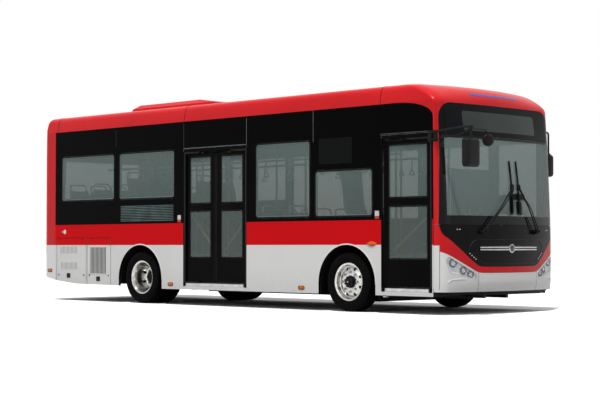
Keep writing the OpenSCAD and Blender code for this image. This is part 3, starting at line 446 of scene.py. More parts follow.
def through(points):
    """A smooth function through (place, value) points: cubic pieces with no overshoot."""
    n = len(points)
    slope = [(points[i + 1][1] - points[i][1]) / (points[i + 1][0] - points[i][0]) for i in range(n - 1)]
    turn = [slope[0]] + [0 if slope[i - 1] * slope[i] <= 0 else 2 * slope[i - 1]
        * slope[i] / (slope[i - 1] + slope[i]) for i in range(1, n - 1)] + [slope[-1]]

    def value(x):
        x = min(max(x, points[0][0]), points[-1][0])
        i = max(k for k in range(n - 1) if points[k][0] <= x)
        step = points[i + 1][0] - points[i][0]
        t = (x - points[i][0]) / step
        return ((2 * t**3 - 3 * t**2 + 1) * points[i][1] + (t**3 - 2 * t**2 + t) * step * turn[i]
            + (3 * t**2 - 2 * t**3) * points[i + 1][1] + (t**3 - t**2) * step * turn[i + 1])
    return value


# half width of the roof against the root of the drop from its crown
half_at = through([(math.sqrt(roof_top - z), y) for y, z in ((0, 3.085), (0.625, 3.077), (1.09, 3.058),
    (1.13, 3.048), (1.16, 3.032), (1.18, 3.01), (1.192, 2.985), (1.205, 2.93), (1.225, 2.805))])
drop_max = math.sqrt(roof_top - cove_z)


def grid_faces(rows, columns):
    """Faces of a grid of points, rows by columns."""
    n = columns + 1
    return [(i * n + j, i * n + j + 1, (i + 1) * n + j + 1, (i + 1) * n + j) for i in range(rows)
        for j in range(columns)]


def sheet_of(name, rows):
    """A thin skin over rows of points."""
    points = [p for row in rows for p in row]
    return tidy_mesh(from_faces(name, points, grid_faces(len(rows) - 1, len(rows[0]) - 1)))


def walled(piece, thickness):
    """Gives a skin its wall, inwards from its faces."""
    return modify(piece, "SOLIDIFY", thickness=thickness, offset=-1.0)


def roof_line(steps=26):
    """Points of the roof's cross-section from the left cove over the crown to the right."""
    drops = [drop_max * (1 - i / steps) ** 1.2 for i in range(steps + 1)]
    left = [(half_at(d), roof_top - d * d) for d in drops]
    return left + [(-y, z) for y, z in reversed(left[:-1])]


def outward(piece, test):
    """Turns a thin skin's faces so that the one nearest a test point looks along it."""
    centre, direction = test
    face = min(piece.data.polygons, key=lambda f: (f.center - Vector(centre)).length)
    if face.normal.dot(Vector(direction)) < 0:
        piece.data.flip_normals()
    return piece


roof_pieces = []
for x0, x1 in ((0.3588, 0.414), (0.418, 3.658), (3.662, 7.6912)):
    steps = 2 if x1 - x0 < 1 else 8
    rows = [[(at(x0 + (x1 - x0) * i / steps), y, z) for y, z in roof_line()] for i in range(steps + 1)]
    piece = outward(sheet_of("roof", rows), ((at((x0 + x1) / 2), 0, roof_top), (0, 0, 1)))
    roof_pieces.append(walled(piece, 0.02))
fit(join("roof_skin", roof_pieces), red_paint, hides=("roof_panel",))
liner_rows = [[(at(x), y * 0.978, z - 0.042) for y, z in roof_line(14)] for x in (0.38, 2.8, 5.2, 7.69)]
ceiling_white = surface("laminated_ceiling_board", "#C9CCCB", "#BFC2C1", 0.5, patch=0.8, relief=0.003,
    depth=0.05)
liner = outward(sheet_of("ceiling_lining", liner_rows), ((at(4), 0, 3.04), (0, 0, 1)))
fit(walled(liner, 0.003), ceiling_white)

# Roof pod. A red glass-fibre cover over the air-conditioning unit, with
# slanted ends and a grille on top.
coat("roof_pod", red_paint)
# black enamel of the pod grille; the same black, put behind the skirt grille, louvres and vents, stands for
# the shade in their slots
grille_black_and_slot_shade = surface("stove_enamelled_grille_and_slot_shade", "#0F0F0F", "#090909", 0.45, patch=0.2, spec=0.1)
slats = []
for i in range(22):
    x = 2.45 + i * 0.05
    slats.append(block("slat", (at(x), -0.42, 3.1602), (at(x + 0.02), 0.42, 3.1675), 0.002, 1))
frame_bars = [block("bar", (at(2.42), s * 0.44 - 0.015, 3.16), (at(3.55), s * 0.44 + 0.015, 3.1679),
    0.002, 1) for s in (-1, 1)]
fit(join("pod_grille", slats + frame_bars), grille_black_and_slot_shade)

# Nose. Its skin is one flowing form: rounded corners, a bowed front that leans
# back above the waist, and a dome that runs out into the roof.
corner_x, tip_x = 8.61, 8.95
corner_r, corner_y = 0.19888, 1.02612
bow_x, bow_r, bow_degrees = 4.95, 4.0, 15.66
bow_angle = math.radians(bow_degrees)
bow_len = bow_r * bow_angle
outline_len = bow_len + corner_r * math.radians(90 - bow_degrees)
cap_back = 7.6925
header_top = 2.785
lean = through([(0.24, 8.915), (0.3, 8.922), (0.36, 8.938), (0.44, 8.9485), (0.56, 8.95), (0.95, 8.95),
    (1.18, 8.944), (1.45, 8.925), (1.85, 8.89), (2.25, 8.845), (2.56, 8.79), (2.785, 8.74)])
dome_lean = through([(math.sqrt(roof_top - z), x) for z, x in ((3.085, 7.95), (3.075, 8.2), (3.052, 8.4),
    (3.015, 8.54), (2.97, 8.63), (2.915, 8.69), (2.85, 8.725), (2.785, 8.74))])


def plan(u):
    """Base outline of the nose at a distance u round it from the middle, for u >= 0."""
    if u <= bow_len:
        a = u / bow_r
        return bow_x + bow_r * math.cos(a), bow_r * math.sin(a)
    a = bow_angle + (u - bow_len) / corner_r
    return corner_x + corner_r * math.cos(a), corner_y + corner_r * math.sin(a)


def nose(u, z, inset=0.0):
    """Point of the nose's skin; u runs round it and goes on along the sides."""
    side, v = (1 if u >= 0 else -1), abs(u)
    if z <= header_top:
        front, start, half = lean(z), corner_x, half_w
    else:
        drop = math.sqrt(max(roof_top - z, 0))
        front, half = dome_lean(drop), half_at(drop)
        t = min(max((z - header_top) / 0.23, 0), 1)
        start = max(front - 0.13 - 0.21 * t * t * (3 - 2 * t), 7.74)
    if v <= outline_len:
        x, y = plan(v)
        x = start + (x - corner_x) / (tip_x - corner_x) * (front - start)
    else:
        t = (v - outline_len) / (corner_x - cap_back)
        x, y = start + t * (cap_back - start), half_w
    return Vector((at(x - inset), side * (y * half / half_w - (inset if v > bow_len else 0)), z))


def round_at(y):
    """Distance round the outline at which the nose is y wide."""
    if y <= bow_r * math.sin(bow_angle):
        return bow_r * math.asin(y / bow_r)
    return bow_len + corner_r * (math.asin(min((y - corner_y) / corner_r, 1)) - bow_angle)


def pillar_edge(z):
    """Distance round to the windscreen's side edge, rounded at the header's top corners."""
    angle = math.radians(65 - 13 * (z - 1.18) / 1.42)
    u = bow_len + corner_r * (angle - bow_angle)
    fall = min(max((z - 2.585) / 0.2, 0), 1)
    return round_at(corner_y + corner_r * math.sin(angle) - 0.2
        * (1 - math.sqrt(1 - fall * fall))) if fall else u


outer_edge = bow_len + corner_r * (math.radians(86.1) - bow_angle)


def wall_top(x):
    """Height of the side wall's upper edge, which falls in a curve ahead of the front door."""
    return 2.6 + 0.205 * math.sqrt(max(1 - ((x - 7.99) / 0.626) ** 2, 0)) if x > 7.99 else cove_z


def lerp(a, b, t):
    return a + (b - a) * t


def spread(a, b, n):
    """Evenly spaced values from a to b, in n steps."""
    return [lerp(a, b, i / n) for i in range(n + 1)]


class Skin:
    """Collects grids of points that share their edges, then merges them to one skin."""

    def __init__(self):
        self.points, self.faces = [], []

    def grid(self, rows):
        start = len(self.points)
        for row in rows:
            self.points += row
        self.faces += [tuple(start + v for v in face) for face in grid_faces(len(rows) - 1, len(rows[0])
            - 1)]

    def make(self, name, wall, test):
        return walled(outward(tidy_mesh(from_faces(name, self.points, self.faces), 0.0003), test), wall)


ahead = ((at(9), 0, 1.2), (1, 0, 0))
cap_rows_low, cap_rows_dome = 8, 22
dome_drops = [math.sqrt(roof_top - header_top) * (1 - i / cap_rows_dome) ** 1.15
    for i in range(cap_rows_dome + 1)]
cap = Skin()
top_edge = pillar_edge(header_top)
across = ([lerp(outer_edge, top_edge, i / 10) for i in range(10)]
    + [lerp(top_edge, 0, i / 18) for i in range(19)])
across = across + [-u for u in reversed(across[:-1])]
cap.grid([[nose(u, roof_top - d * d) for u in across] for d in dome_drops])
for s in (1, -1):
    lows = [1.18 + (2.6 - 1.18) * i / 14 for i in range(14)]
    lows += [lerp(2.6, header_top, i / cap_rows_low) for i in range(cap_rows_low + 1)]
    cap.grid([[nose(s * lerp(outer_edge, pillar_edge(z), i / 10), z) for i in range(11)] for z in lows])
    # side part over the wall, from the seam with the roof to the pillar
    backs = [lerp(outer_edge, outline_len, i / 2) for i in range(3)]
    backs += [outline_len + (corner_x - cap_back) * (i / 24) for i in range(1, 25)]
    columns = []
    for u in backs:
        x = nose(u, 2.7).x - tail_x
        low = 2.6 if u == outer_edge else wall_top(x) + 0.001
        bend = low + 0.185 * (0.15 + 0.85 * max(0, (x - 7.99) / 0.6266) ** 1.5 if x > 7.99 else 0.15)
        bend = header_top if u == outer_edge else min(max(bend, low + 0.02), 2.84)
        drops = [math.sqrt(roof_top - bend) * (1 - i / cap_rows_dome) ** 1.15
            for i in range(cap_rows_dome + 1)]
        columns.append([nose(s * u, lerp(low, bend, i / cap_rows_low)) for i in range(cap_rows_low)]
            + [nose(s * u, roof_top - d * d) for d in drops])
    cap.grid(columns)
front_cap = cap.make("front_dome", 0.03, ((at(8.2), 0, roof_top), (0, 0, 1)))
fit(front_cap, red_paint, hides=("front_cap",), angle=50)

# Windscreen and header glass. Laminated, bonded panes with a black printed
# border; the header covers the destination display.
screen_low, header_low, gap = 1.18, 2.35, 0.0022


def pane_rows(low, high, rows, columns, inset):
    """Rows of points between the two pillar edges, spaced closer at the corners."""
    out = []
    for i in range(rows + 1):
        z = lerp(low, high, i / rows)
        edge = pillar_edge(z) - inset
        out.append([nose(-edge * math.sin(math.pi / 2 * lerp(-1, 1, j / columns)), z)
            for j in range(columns + 1)])
    return out


def panel(name, rows, wall):
    """A walled skin over one grid of points, facing ahead."""
    skin = Skin()
    skin.grid(rows)
    return skin.make(name, wall, ahead)


screen_rows = pane_rows(screen_low + gap, header_low - gap, 24, 48, gap)
windscreen_glass = surface("laminated_windscreen_glass", "#879C98", "#7E928D", 0.03, patch=3.0,
    relief=0.5, depth=0.003, ior=1.52, spec=0.14)
tree, shader, spot = parts_of(windscreen_glass)
axes = add_node(tree, "SeparateXYZ", {"Vector": spot})
tint = shader.inputs["Base Color"].links[0].from_socket
# the pane is painted darker from 2.2 m down to 1.3 m: painted shade
lower_pane_shade = add_node(tree, "MapRange", {"Value": axes.outputs["Z"], "From Min": 2.2, "From Max": 1.3})
tint = blend_colour(tree, lower_pane_shade.outputs[0], tint, "#7D8C88")
# the printed border: a low band, a high band and one up each side
aside = add_node(tree, "Math", {0: axes.outputs["Y"]}, operation="ABSOLUTE").outputs[0]
clear = above(tree, axes.outputs["Z"], 1.3)
under = add_node(tree, "Math", {0: 1.0, 1: above(tree, axes.outputs["Z"], 2.318)}, operation="SUBTRACT")
inner = add_node(tree, "Math", {0: 1.0, 1: above(tree, aside, 1.128)}, operation="SUBTRACT")
clear = add_node(tree, "Math", {0: clear, 1: under.outputs[0]}, operation="MULTIPLY").outputs[0]
clear = add_node(tree, "Math", {0: clear, 1: inner.outputs[0]}, operation="MULTIPLY").outputs[0]
tree.links.new(blend_colour(tree, clear, "#0B0B0C", tint), shader.inputs["Base Color"])
see_through = add_node(tree, "MapRange", {"Value": clear, "To Min": 1.0, "To Max": 0.52})
tree.links.new(see_through.outputs[0], shader.inputs["Alpha"])
fit(panel("windscreen_pane", screen_rows, 0.007), windscreen_glass, hides=("windscreen",))

header_rows = pane_rows(header_low + gap, header_top - gap, 14, 48, gap + 0.001)
header_glass = surface("black_header_glass", "#0D0F11", "#0A0B0D", 0.06, patch=1.0, relief=0.3,
    depth=0.004, spec=0.06)
fit(panel("header_glass", header_rows, 0.007), header_glass)


def plate_on_nose(name, half, low, high, proud, wall, columns=32, rows=6, corner=0.02):
    """A curved plate on the nose between two heights, level edges, for |y| up to half."""
    grid = []
    for i in range(rows + 1):
        z = lerp(low, high, i / rows)
        near = min(z - low, high - z)
        cut = corner - math.sqrt(max(corner**2 - (corner - near) ** 2, 0)) if near < corner else 0
        grid.append([nose(round_at(half - cut) * -lerp(-1, 1, j / columns), z) + Vector((proud, 0, 0))
            for j in range(columns + 1)])
    return panel(name, grid, wall)


# the blank display behind the header: dark matrix boards
display = surface("led_matrix_board_unlit", "#2C3332", "#272E2C", 0.25, patch=0.4, relief=0.01, spec=0.2)
fit(plate_on_nose("front_display_board", 0.78, 2.425, 2.685, 0.0008, 0.004), display)

# Front mask, red band and bumper. Glass-fibre mouldings clipped to the nose
# frame; the mask is black and hides the tow hatch, the bumper is pale.
v_half, v_run = 0.636, 0.589
mask_low, mask_rise, band_low, band_rise = 0.625, 0.455, 0.546, 0.295


def v_line(y, low, rise, blend=0.05):
    """Height of a V edge: level in the middle, rising to the sides, eased at the bend."""
    over = abs(y) - v_half
    eased = (over + math.sqrt(over * over + blend * blend)) / 2
    return low + rise * eased / v_run


mask_edge = pillar_edge(1.17)


def mask_line(u):
    """Lower edge of the mask, which turns up to the seam beside the pillar."""
    x, y = plan(abs(u))
    z = v_line(y, mask_low, mask_rise)
    t = min(max((abs(u) - mask_edge + 0.05) / 0.05, 0), 1)
    return lerp(z, 1.178, t * t * (3 - 2 * t))


def span_rows(us, low_of, high_of, rows):
    """Rows of points over distances round the nose, between two edges."""
    return [[nose(u, lerp(low_of(u), high_of(u), i / rows)) for u in us] for i in range(rows + 1)]


mask_rows = span_rows(spread(mask_edge - 0.002, 0.002 - mask_edge, 72), lambda u: mask_line(u) + gap,
    lambda u: 1.178, 20)
gloss_black = surface("black_gelcoat", "#0D0D0E", "#090909", 0.22, patch=0.6, relief=0.005, depth=0.03,
    spec=0.07)
fit(panel("mask_moulding", mask_rows, 0.03), gloss_black, hides=("front_mask",))

band_us = spread(outer_edge, mask_edge, 6)[:-1] + spread(mask_edge, -mask_edge, 72)
band_us += spread(-mask_edge, -outer_edge, 6)[1:]
band_rows = span_rows(band_us, lambda u: v_line(plan(abs(u))[1], band_low, band_rise) + gap,
    lambda u: mask_line(u) if abs(u) < mask_edge else 1.178, 8)
red_band = panel("band_moulding", band_rows, 0.03)

bumper_low = 0.3
corner_us = spread(outer_edge, round_at(v_half + 0.003), 26)
bumper_parts = []
for name, us in (("bumper_left", corner_us),
        ("bumper_middle", spread(round_at(v_half - 0.003), -round_at(v_half - 0.003), 40)),
        ("bumper_right", [-u for u in reversed(corner_us)])):
    rows = span_rows(us, lambda u: bumper_low, lambda u: v_line(plan(abs(u))[1], band_low, band_rise)
        - gap, 16)
    bumper_parts.append(panel(name, rows, 0.03))

# lamp openings are cut through band and bumper with a prism of the lamp's outline
lamp_outline = [(1.15, 0.72), (1.11, 0.56), (0.7, 0.47), (0.672, 0.5), (0.68, 0.535), (1.12, 0.765)]


def soften(points, radius, steps=5):
    """Rounds the corners of an outline."""
    out, n = [], len(points)
    for i in range(n):
        p, a, b = (Vector(points[i]), Vector(points[i - 1]), Vector(points[(i + 1) % n]))
        cut = min(radius, (a - p).length * 0.4, (b - p).length * 0.4)
        first, last = p + (a - p).normalized() * cut, p + (b - p).normalized() * cut
        for k in range(steps + 1):
            t = k / steps
            out.append(tuple((1 - t) ** 2 * first + 2 * t * (1 - t) * p + t * t * last))
    return out


def loop_faces(steps, n):
    """Faces between closed loops of n points, one step from each loop to the next."""
    return [(k * n + i, k * n + (i + 1) % n, (k + 1) * n + (i + 1) % n, (k + 1) * n + i)
        for k in range(steps) for i in range(n)]


def prism(name, outline, x0, x1):
    """A solid with an outline across the bus, between two stations."""
    n = len(outline)
    points = [(at(x), y, z) for x in (x0, x1) for y, z in outline]
    return tidy_mesh(from_faces(name, points, [tuple(range(n)), tuple(range(n, 2 * n))]
        + loop_faces(1, n)))


def cut(piece, tool):
    pick(piece)
    modifier = piece.modifiers.new("cut", "BOOLEAN")
    modifier.operation, modifier.object, modifier.solver = "DIFFERENCE", tool, "EXACT"
    bpy.ops.object.modifier_apply(modifier="cut")


soft_lamp = soften(lamp_outline, 0.025)
for s in (-1, 1):
    tool = prism("tool", [(s * y, z) for y, z in soft_lamp], 8.45, 9.1)
    for piece in (red_band, bumper_parts[0 if s > 0 else 2]):
        cut(piece, tool)
    bpy.data.objects.remove(tool)
fit(red_band, red_paint, hides=("front_band",), angle=50)
for piece in bumper_parts:
    fit(piece, pale_paint, angle=50)
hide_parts("front_bumper")

# a dark inner panel closes the seams between the mouldings
backing = [[nose(u, z, 0.034) for u in spread(outer_edge, -outer_edge, 60)]
    for z in (0.33, 0.5, 0.8, 1.0, 1.17)]
chassis_black = surface("black_chassis_lacquer", "#141414", "#0D0D0D", 0.55, patch=0.3, relief=0.004,
    depth=0.2, spec=0.12)
fit(panel("nose_inner_panel", backing, 0.004), chassis_black)
lip = [[nose(u, z, inset) for u in spread(outer_edge - 0.05, 0.05 - outer_edge, 50)]
    for z, inset in ((0.262, 0.07), (0.285, 0.045), (0.31, 0.036))]
fit(panel("bumper_under_edge", lip, 0.006), rubber)

# Tyres. Low-profile radials of black rubber compound, moulded with four
# grooves round the tread, shoulder sipes and plain rings on the side walls.
axle_z = 0.41
front_x, rear_x = at(7.07), at(2.605)
wheel_y, twin_y, flange_y = 1.0775, 0.7975, 0.9375


def turned(name, profile, centre, steps=96, closed=True):
    """A profile of (radius, distance outwards) points turned about a wheel's axis,
    drawn for the left side."""
    n = len(profile)
    mesh = bpy.data.meshes.new(name)
    edges = [(i, (i + 1) % n) for i in range(n if closed else n - 1)]
    mesh.from_pydata([(centre[0], centre[1] + y, centre[2] + r) for r, y in profile], edges, [])
    piece = bpy.data.objects.new(name, mesh)
    scene.collection.objects.link(piece)
    edit_all(piece)
    bpy.ops.mesh.spin(steps=steps, angle=math.tau, center=centre, axis=(0, 1, 0))
    bpy.ops.object.mode_set(mode="OBJECT")
    return tidy_mesh(piece, 0.00005)


def copy_of(piece, name, shift=(0, 0, 0), mirror=False):
    """A copy with its own mesh, moved, or mirrored to the other side."""
    twin = piece.copy()
    twin.data = piece.data.copy()
    twin.name = name
    scene.collection.objects.link(twin)
    twin.data.transform(Matrix.Translation(shift))
    if mirror:
        twin.data.transform(Matrix.Scale(-1, 4, (0, 1, 0)))
        twin.data.flip_normals()
    return twin


tyre_rubber = surface("tyre_tread_rubber", "#0C0C0C", "#080808", 0.75, patch=0.12, relief=0.0025,
    depth=0.2, spec=0.03)
tyre_profile = [(0.2605, -0.094), (0.262, -0.104), (0.266, -0.111), (0.28, -0.117), (0.3, -0.1205),
    (0.318, -0.1225), (0.321, -0.1212), (0.3235, -0.1225), (0.35, -0.121), (0.3525, -0.1192),
    (0.355, -0.1195), (0.38, -0.1145), (0.396, -0.1085), (0.404, -0.0985), (0.4075, -0.088)]
for groove in (-0.062, -0.021, 0.021, 0.062):
    tyre_profile += [(0.4095, groove - 0.0055), (0.398, groove - 0.004), (0.398, groove + 0.004),
        (0.4095, groove + 0.0055)]
tyre_profile += [(r, -y) for r, y in reversed(tyre_profile[:15])] + [(0.2485, 0.088), (0.2485, -0.088)]


def groove_shoulders(piece, centre):
    """Presses every other shoulder face of the tread inwards as a sipe."""
    pick(piece)
    bpy.ops.object.mode_set(mode="EDIT")
    bpy.ops.mesh.select_mode(type="FACE")
    bpy.ops.mesh.select_all(action="DESELECT")
    bpy.ops.object.mode_set(mode="OBJECT")
    for face in piece.data.polygons:
        x, y, z = face.center - Vector(centre)
        radius, turn = math.hypot(x, z), math.atan2(z, x) / math.tau * 144
        face.select = 0.401 < radius < 0.4095 and 0.068 < abs(y) < 0.1 and round(turn - 0.5) % 3 == 0
    bpy.ops.object.mode_set(mode="EDIT")
    bpy.ops.mesh.inset(thickness=0.0015, depth=-0.007, use_individual=True)
    bpy.ops.object.mode_set(mode="OBJECT")
    return piece


front_tyre = groove_shoulders(turned("tyre", tyre_profile, (front_x, wheel_y, axle_z), 144),
    (front_x, wheel_y, axle_z))
to_rear = rear_x - front_x
for body, node, shifts, mirror in (("front_left_wheel", "front_left_tyre", ((0, 0, 0),), False),
        ("front_right_wheel", "front_right_tyre", ((0, 0, 0),), True),
        ("rear_left_wheels", "rear_left_tyres", ((to_rear, 0, 0), (to_rear, twin_y - wheel_y, 0)), False),
        ("rear_right_wheels", "rear_right_tyres", ((to_rear, 0, 0), (to_rear, twin_y - wheel_y, 0)),
        True)):
    for i, shift in enumerate(shifts):
        tyre = copy_of(front_tyre, f"{node}_{'outer' if i == 0 else 'inner'}", shift, mirror)
        fit(tyre, tyre_rubber, body, (node,) if i == 0 else ())
bpy.data.objects.remove(front_tyre)

# Front wheels. Forged aluminium discs, machined and polished, held by eight
# nuts with bright caps; the hub is a black casting with a lobed cover.
polished = surface("polished_forged_aluminium", "#C6C5C1", "#A9A8A4", 0.22, relief=0.0015, depth=0.05,
    metal=1.0)
chrome = surface("chromed_steel", "#A3A3A1", "#939391", 0.12, patch=0.1, relief=0.01, depth=0.01,
    metal=1.0)
cast_black = surface("painted_grey_iron_casting", "#101112", "#08080A", 0.5, patch=0.03, relief=0.0015,
    depth=0.25, spec=0.1)
front_centre, nut_circle_r = (front_x, wheel_y, axle_z), 0.1375
disc_profile = [(0.07, 0.066), (0.15, 0.066), (0.16, 0.0645), (0.17, 0.06), (0.187, 0.053),
    (0.203, 0.044), (0.214, 0.036), (0.221, 0.04), (0.226, 0.06), (0.231, 0.084), (0.237, 0.094),
    (0.249, 0.0975), (0.257, 0.101), (0.261, 0.104), (0.261, 0.098), (0.248, 0.088), (0.236, 0.062),
    (0.214, 0.026), (0.203, 0.031), (0.187, 0.04), (0.16, 0.052), (0.15, 0.054), (0.07, 0.054)]


def around(centre, radius, count, start=0.0):
    """Places (along, up) evenly round an axle, from a starting angle in degrees."""
    turns = [math.radians(start + 360 / count * i) for i in range(count)]
    return [(centre[0] + radius * math.cos(a), centre[2] + radius * math.sin(a)) for a in turns]


def peg(radius, depth, sides, x, y, z):
    """A short cylinder that lies across the bus."""
    deselect()
    bpy.ops.mesh.primitive_cylinder_add(vertices=sides, radius=radius, depth=depth,
        rotation=(math.pi / 2, 0, 0), location=(x, y, z))
    return settle(bpy.context.object)


def hand_holes(piece, centre, radius, size, depth):
    """Bores eight round holes through a wheel disc."""
    tool = join("tool",
        [peg(size, depth, 32, x, centre[1], z) for x, z in around(centre, radius, 8, 22.5)])
    cut(piece, tool)
    bpy.data.objects.remove(tool)
    return modify(piece, "BEVEL", width=0.002, segments=2, limit_method="ANGLE",
        angle_limit=math.radians(50))


def nut_caps(centre, face, size=0.0155, tall=0.036):
    """Eight domed caps over the wheel nuts, each with its washer."""
    profile = [(0, tall), (size * 0.45, tall - 0.001), (size * 0.8, tall - 0.006),
        (size * 0.92, tall - 0.014), (size, 0.008), (size * 1.3, 0.006), (size * 1.3, 0), (0, 0)]
    return join("nut_caps",
        [turned("cap", profile, (x, face, z), 16, closed=False)
        for x, z in around(centre, nut_circle_r, 8)])


front_disc = hand_holes(turned("disc", disc_profile, front_centre), (front_x, wheel_y + 0.05, axle_z),
    0.187, 0.0225, 0.14)
back_rim = [(0.261, -0.104), (0.261, -0.098), (0.248, -0.088), (0.236, -0.062), (0.214, -0.04),
    (0.214, 0.026), (0.224, 0.024), (0.224, -0.036), (0.246, -0.06)]
front_rim = join("rim", [front_disc, turned("barrel", back_rim[:6] + back_rim[:5:-1], front_centre)])
hub_button = turned("button", [(0, 0.1285), (0.01, 0.128), (0.013, 0.124), (0, 0.124)], front_centre, 24,
    closed=False)
front_caps = join("nut_caps", [nut_caps(front_centre, wheel_y + 0.065), hub_button])
lobes = [modify(peg(0.014, 0.05, 20, x, wheel_y + 0.088, z), "BEVEL", width=0.004, segments=3)
    for x, z in around(front_centre, 0.066, 8, 22.5)]
hub_profile = [(0, 0.126), (0.02, 0.126), (0.024, 0.121), (0.04, 0.12), (0.046, 0.112), (0.066, 0.108),
    (0.074, 0.096), (0.078, 0.07), (0.088, 0.0665), (0.088, 0.05), (0, 0.05)]
front_hub = join("hub", [turned("hub", hub_profile, front_centre, 64, closed=False)] + lobes)
drum_profile = [(0, 0.045), (0.19, 0.045), (0.196, 0.038), (0.196, -0.05), (0.186, -0.055),
    (0.06, -0.052), (0.047, -0.05), (0.047, 0.03), (0, 0.03)]
front_drum = turned("drum", drum_profile, front_centre, 64, closed=False)


def discard(*pieces):
    for piece in pieces:
        bpy.data.objects.remove(piece)


def mount(left, right, ending, rim, caps, hub, drum):
    """Copies a wheel's pieces to both ends of its axle."""
    for node, mirror in ((left, False), (right, True)):
        fit(copy_of(rim, node + ending, mirror=mirror), polished, node, (node,), angle=40)
        fit(copy_of(caps, node + "_nut_caps", mirror=mirror), chrome, node)
        fit(copy_of(hub, node + "_hub", mirror=mirror), cast_black, node)
        fit(copy_of(drum, node + "_drum", mirror=mirror), cast_black, node)
    discard(rim, caps, hub, drum)


mount("front_left_wheel", "front_right_wheel", "_rim", front_rim, front_caps, front_hub, front_drum)

# Rear wheels. Twin polished aluminium wheels back to back; the outer one is a
# deep dish with the flange and the planetary hub at its bottom.
rear_centre = (rear_x, wheel_y, axle_z)
dish_profile = [(0.07, -0.128), (0.16, -0.128), (0.168, -0.125), (0.176, -0.116), (0.196, -0.082),
    (0.206, -0.06), (0.2125, -0.04), (0.2145, -0.01), (0.2145, 0.038), (0.222, 0.058), (0.231, 0.084),
    (0.237, 0.094), (0.249, 0.0975), (0.257, 0.101), (0.261, 0.104), (0.261, 0.098), (0.248, 0.088),
    (0.244, 0.062), (0.226, 0.04), (0.224, -0.04), (0.218, -0.066), (0.206, -0.09), (0.184, -0.128),
    (0.172, -0.139), (0.16, -0.1395), (0.07, -0.1395)]
dish = hand_holes(turned("dish", dish_profile, rear_centre), (rear_x, wheel_y - 0.1, axle_z), 0.19,
    0.021, 0.12)
outer_barrel = turned("barrel", [(0.261, -0.104), (0.261, -0.098), (0.248, -0.088), (0.236, -0.062),
    (0.226, -0.046), (0.224, -0.04), (0.234, -0.04), (0.246, -0.06), (0.25, -0.104)], rear_centre)
inner = [copy_of(dish, "inner_rim"), copy_of(outer_barrel, "inner_barrel")]
for piece in inner:
    piece.data.transform(Matrix.Translation((0, flange_y * 2, 0)) @ Matrix.Scale(-1, 4, (0, 1, 0)))
    piece.data.flip_normals()
rear_rims = join("rear_rims", [dish, outer_barrel] + inner)
rear_caps = nut_caps(rear_centre, flange_y + 0.012, 0.014, 0.03)
planet_profile = [(0, 0.085), (0.052, 0.085), (0.06, 0.079), (0.064, 0.066), (0.094, 0.062),
    (0.102, 0.052), (0.104, 0.014), (0.116, 0.012), (0.116, -0.01), (0, -0.01)]
rear_hub = turned("rear_hub", planet_profile, (rear_x, flange_y, axle_z), 64, closed=False)
hub_bolts = [modify(peg(0.0075, 0.012, 6, x, flange_y + 0.067, z), "BEVEL", width=0.001, segments=2)
    for x, z in around(rear_centre, 0.08, 12)]
rear_hub = join("rear_hub", [rear_hub] + hub_bolts)
rear_drum = turned("rear_drum", [(0.118, -0.045), (0.186, -0.048), (0.19, -0.056), (0.19, -0.225),
    (0.178, -0.229), (0.176, -0.065), (0.118, -0.06)], (rear_x, flange_y, axle_z), 64)
mount("rear_left_wheels", "rear_right_wheels", "_rims", rear_rims, rear_caps, rear_hub, rear_drum)

# Passenger doors. Leaves of black-coated aluminium profile with two bonded
# panes each, rubber edges, and a grab bar on the inside. They ride on posts.
door_black = surface("black_powder_coat_on_aluminium", "#080809", "#050505", 0.35, patch=0.5,
    relief=0.003, depth=0.06, spec=0.02)
for node in ("front_door_leaf", "rear_door_aft_leaf", "rear_door_fore_leaf"):
    coat(node, door_black)
leaf_face, leaf_back = 1.188, 1.156
rail_yellow = surface("yellow_powder_coated_tube", "#D9B93A", "#CCAA2E", 0.4, patch=0.1, depth=0.05,
    spec=0.4)
bare_alloy = surface("satin_anodised_aluminium", "#BFC1C2", "#A9ABAC", 0.36, patch=0.06, relief=0.0015,
    depth=0.08, metal=1.0)


def rod(name, points, radius, corner=0.0, sides=4):
    """A round bar through points, its bends rounded, with closed ends."""
    path = [Vector(points[0])]
    for i in range(1, len(points) - 1):
        p, a, b = (Vector(points[k]) for k in (i, i - 1, i + 1))
        cut_back = min(corner, (a - p).length * 0.45, (b - p).length * 0.45)
        if cut_back < 0.0005:
            path.append(p)
            continue
        first, last = p + (a - p).normalized() * cut_back, p + (b - p).normalized() * cut_back
        for k in range(7):
            t = k / 6
            path.append((1 - t) ** 2 * first + 2 * t * (1 - t) * p + t * t * last)
    path.append(Vector(points[-1]))
    curve = bpy.data.curves.new(name, "CURVE")
    curve.dimensions = "3D"
    spline = curve.splines.new("POLY")
    spline.points.add(len(path) - 1)
    for point, place in zip(spline.points, path):
        point.co = (*place, 1)
    curve.bevel_depth, curve.bevel_resolution, curve.use_fill_caps = radius, sides, True
    piece = bpy.data.objects.new(name, curve)
    scene.collection.objects.link(piece)
    pick(piece)
    bpy.ops.object.convert(target="MESH")
    return tidy_mesh(bpy.context.object, 0.00005)


def on_leaf(x, z, d):
    return (at(x), -(leaf_face + d), z)


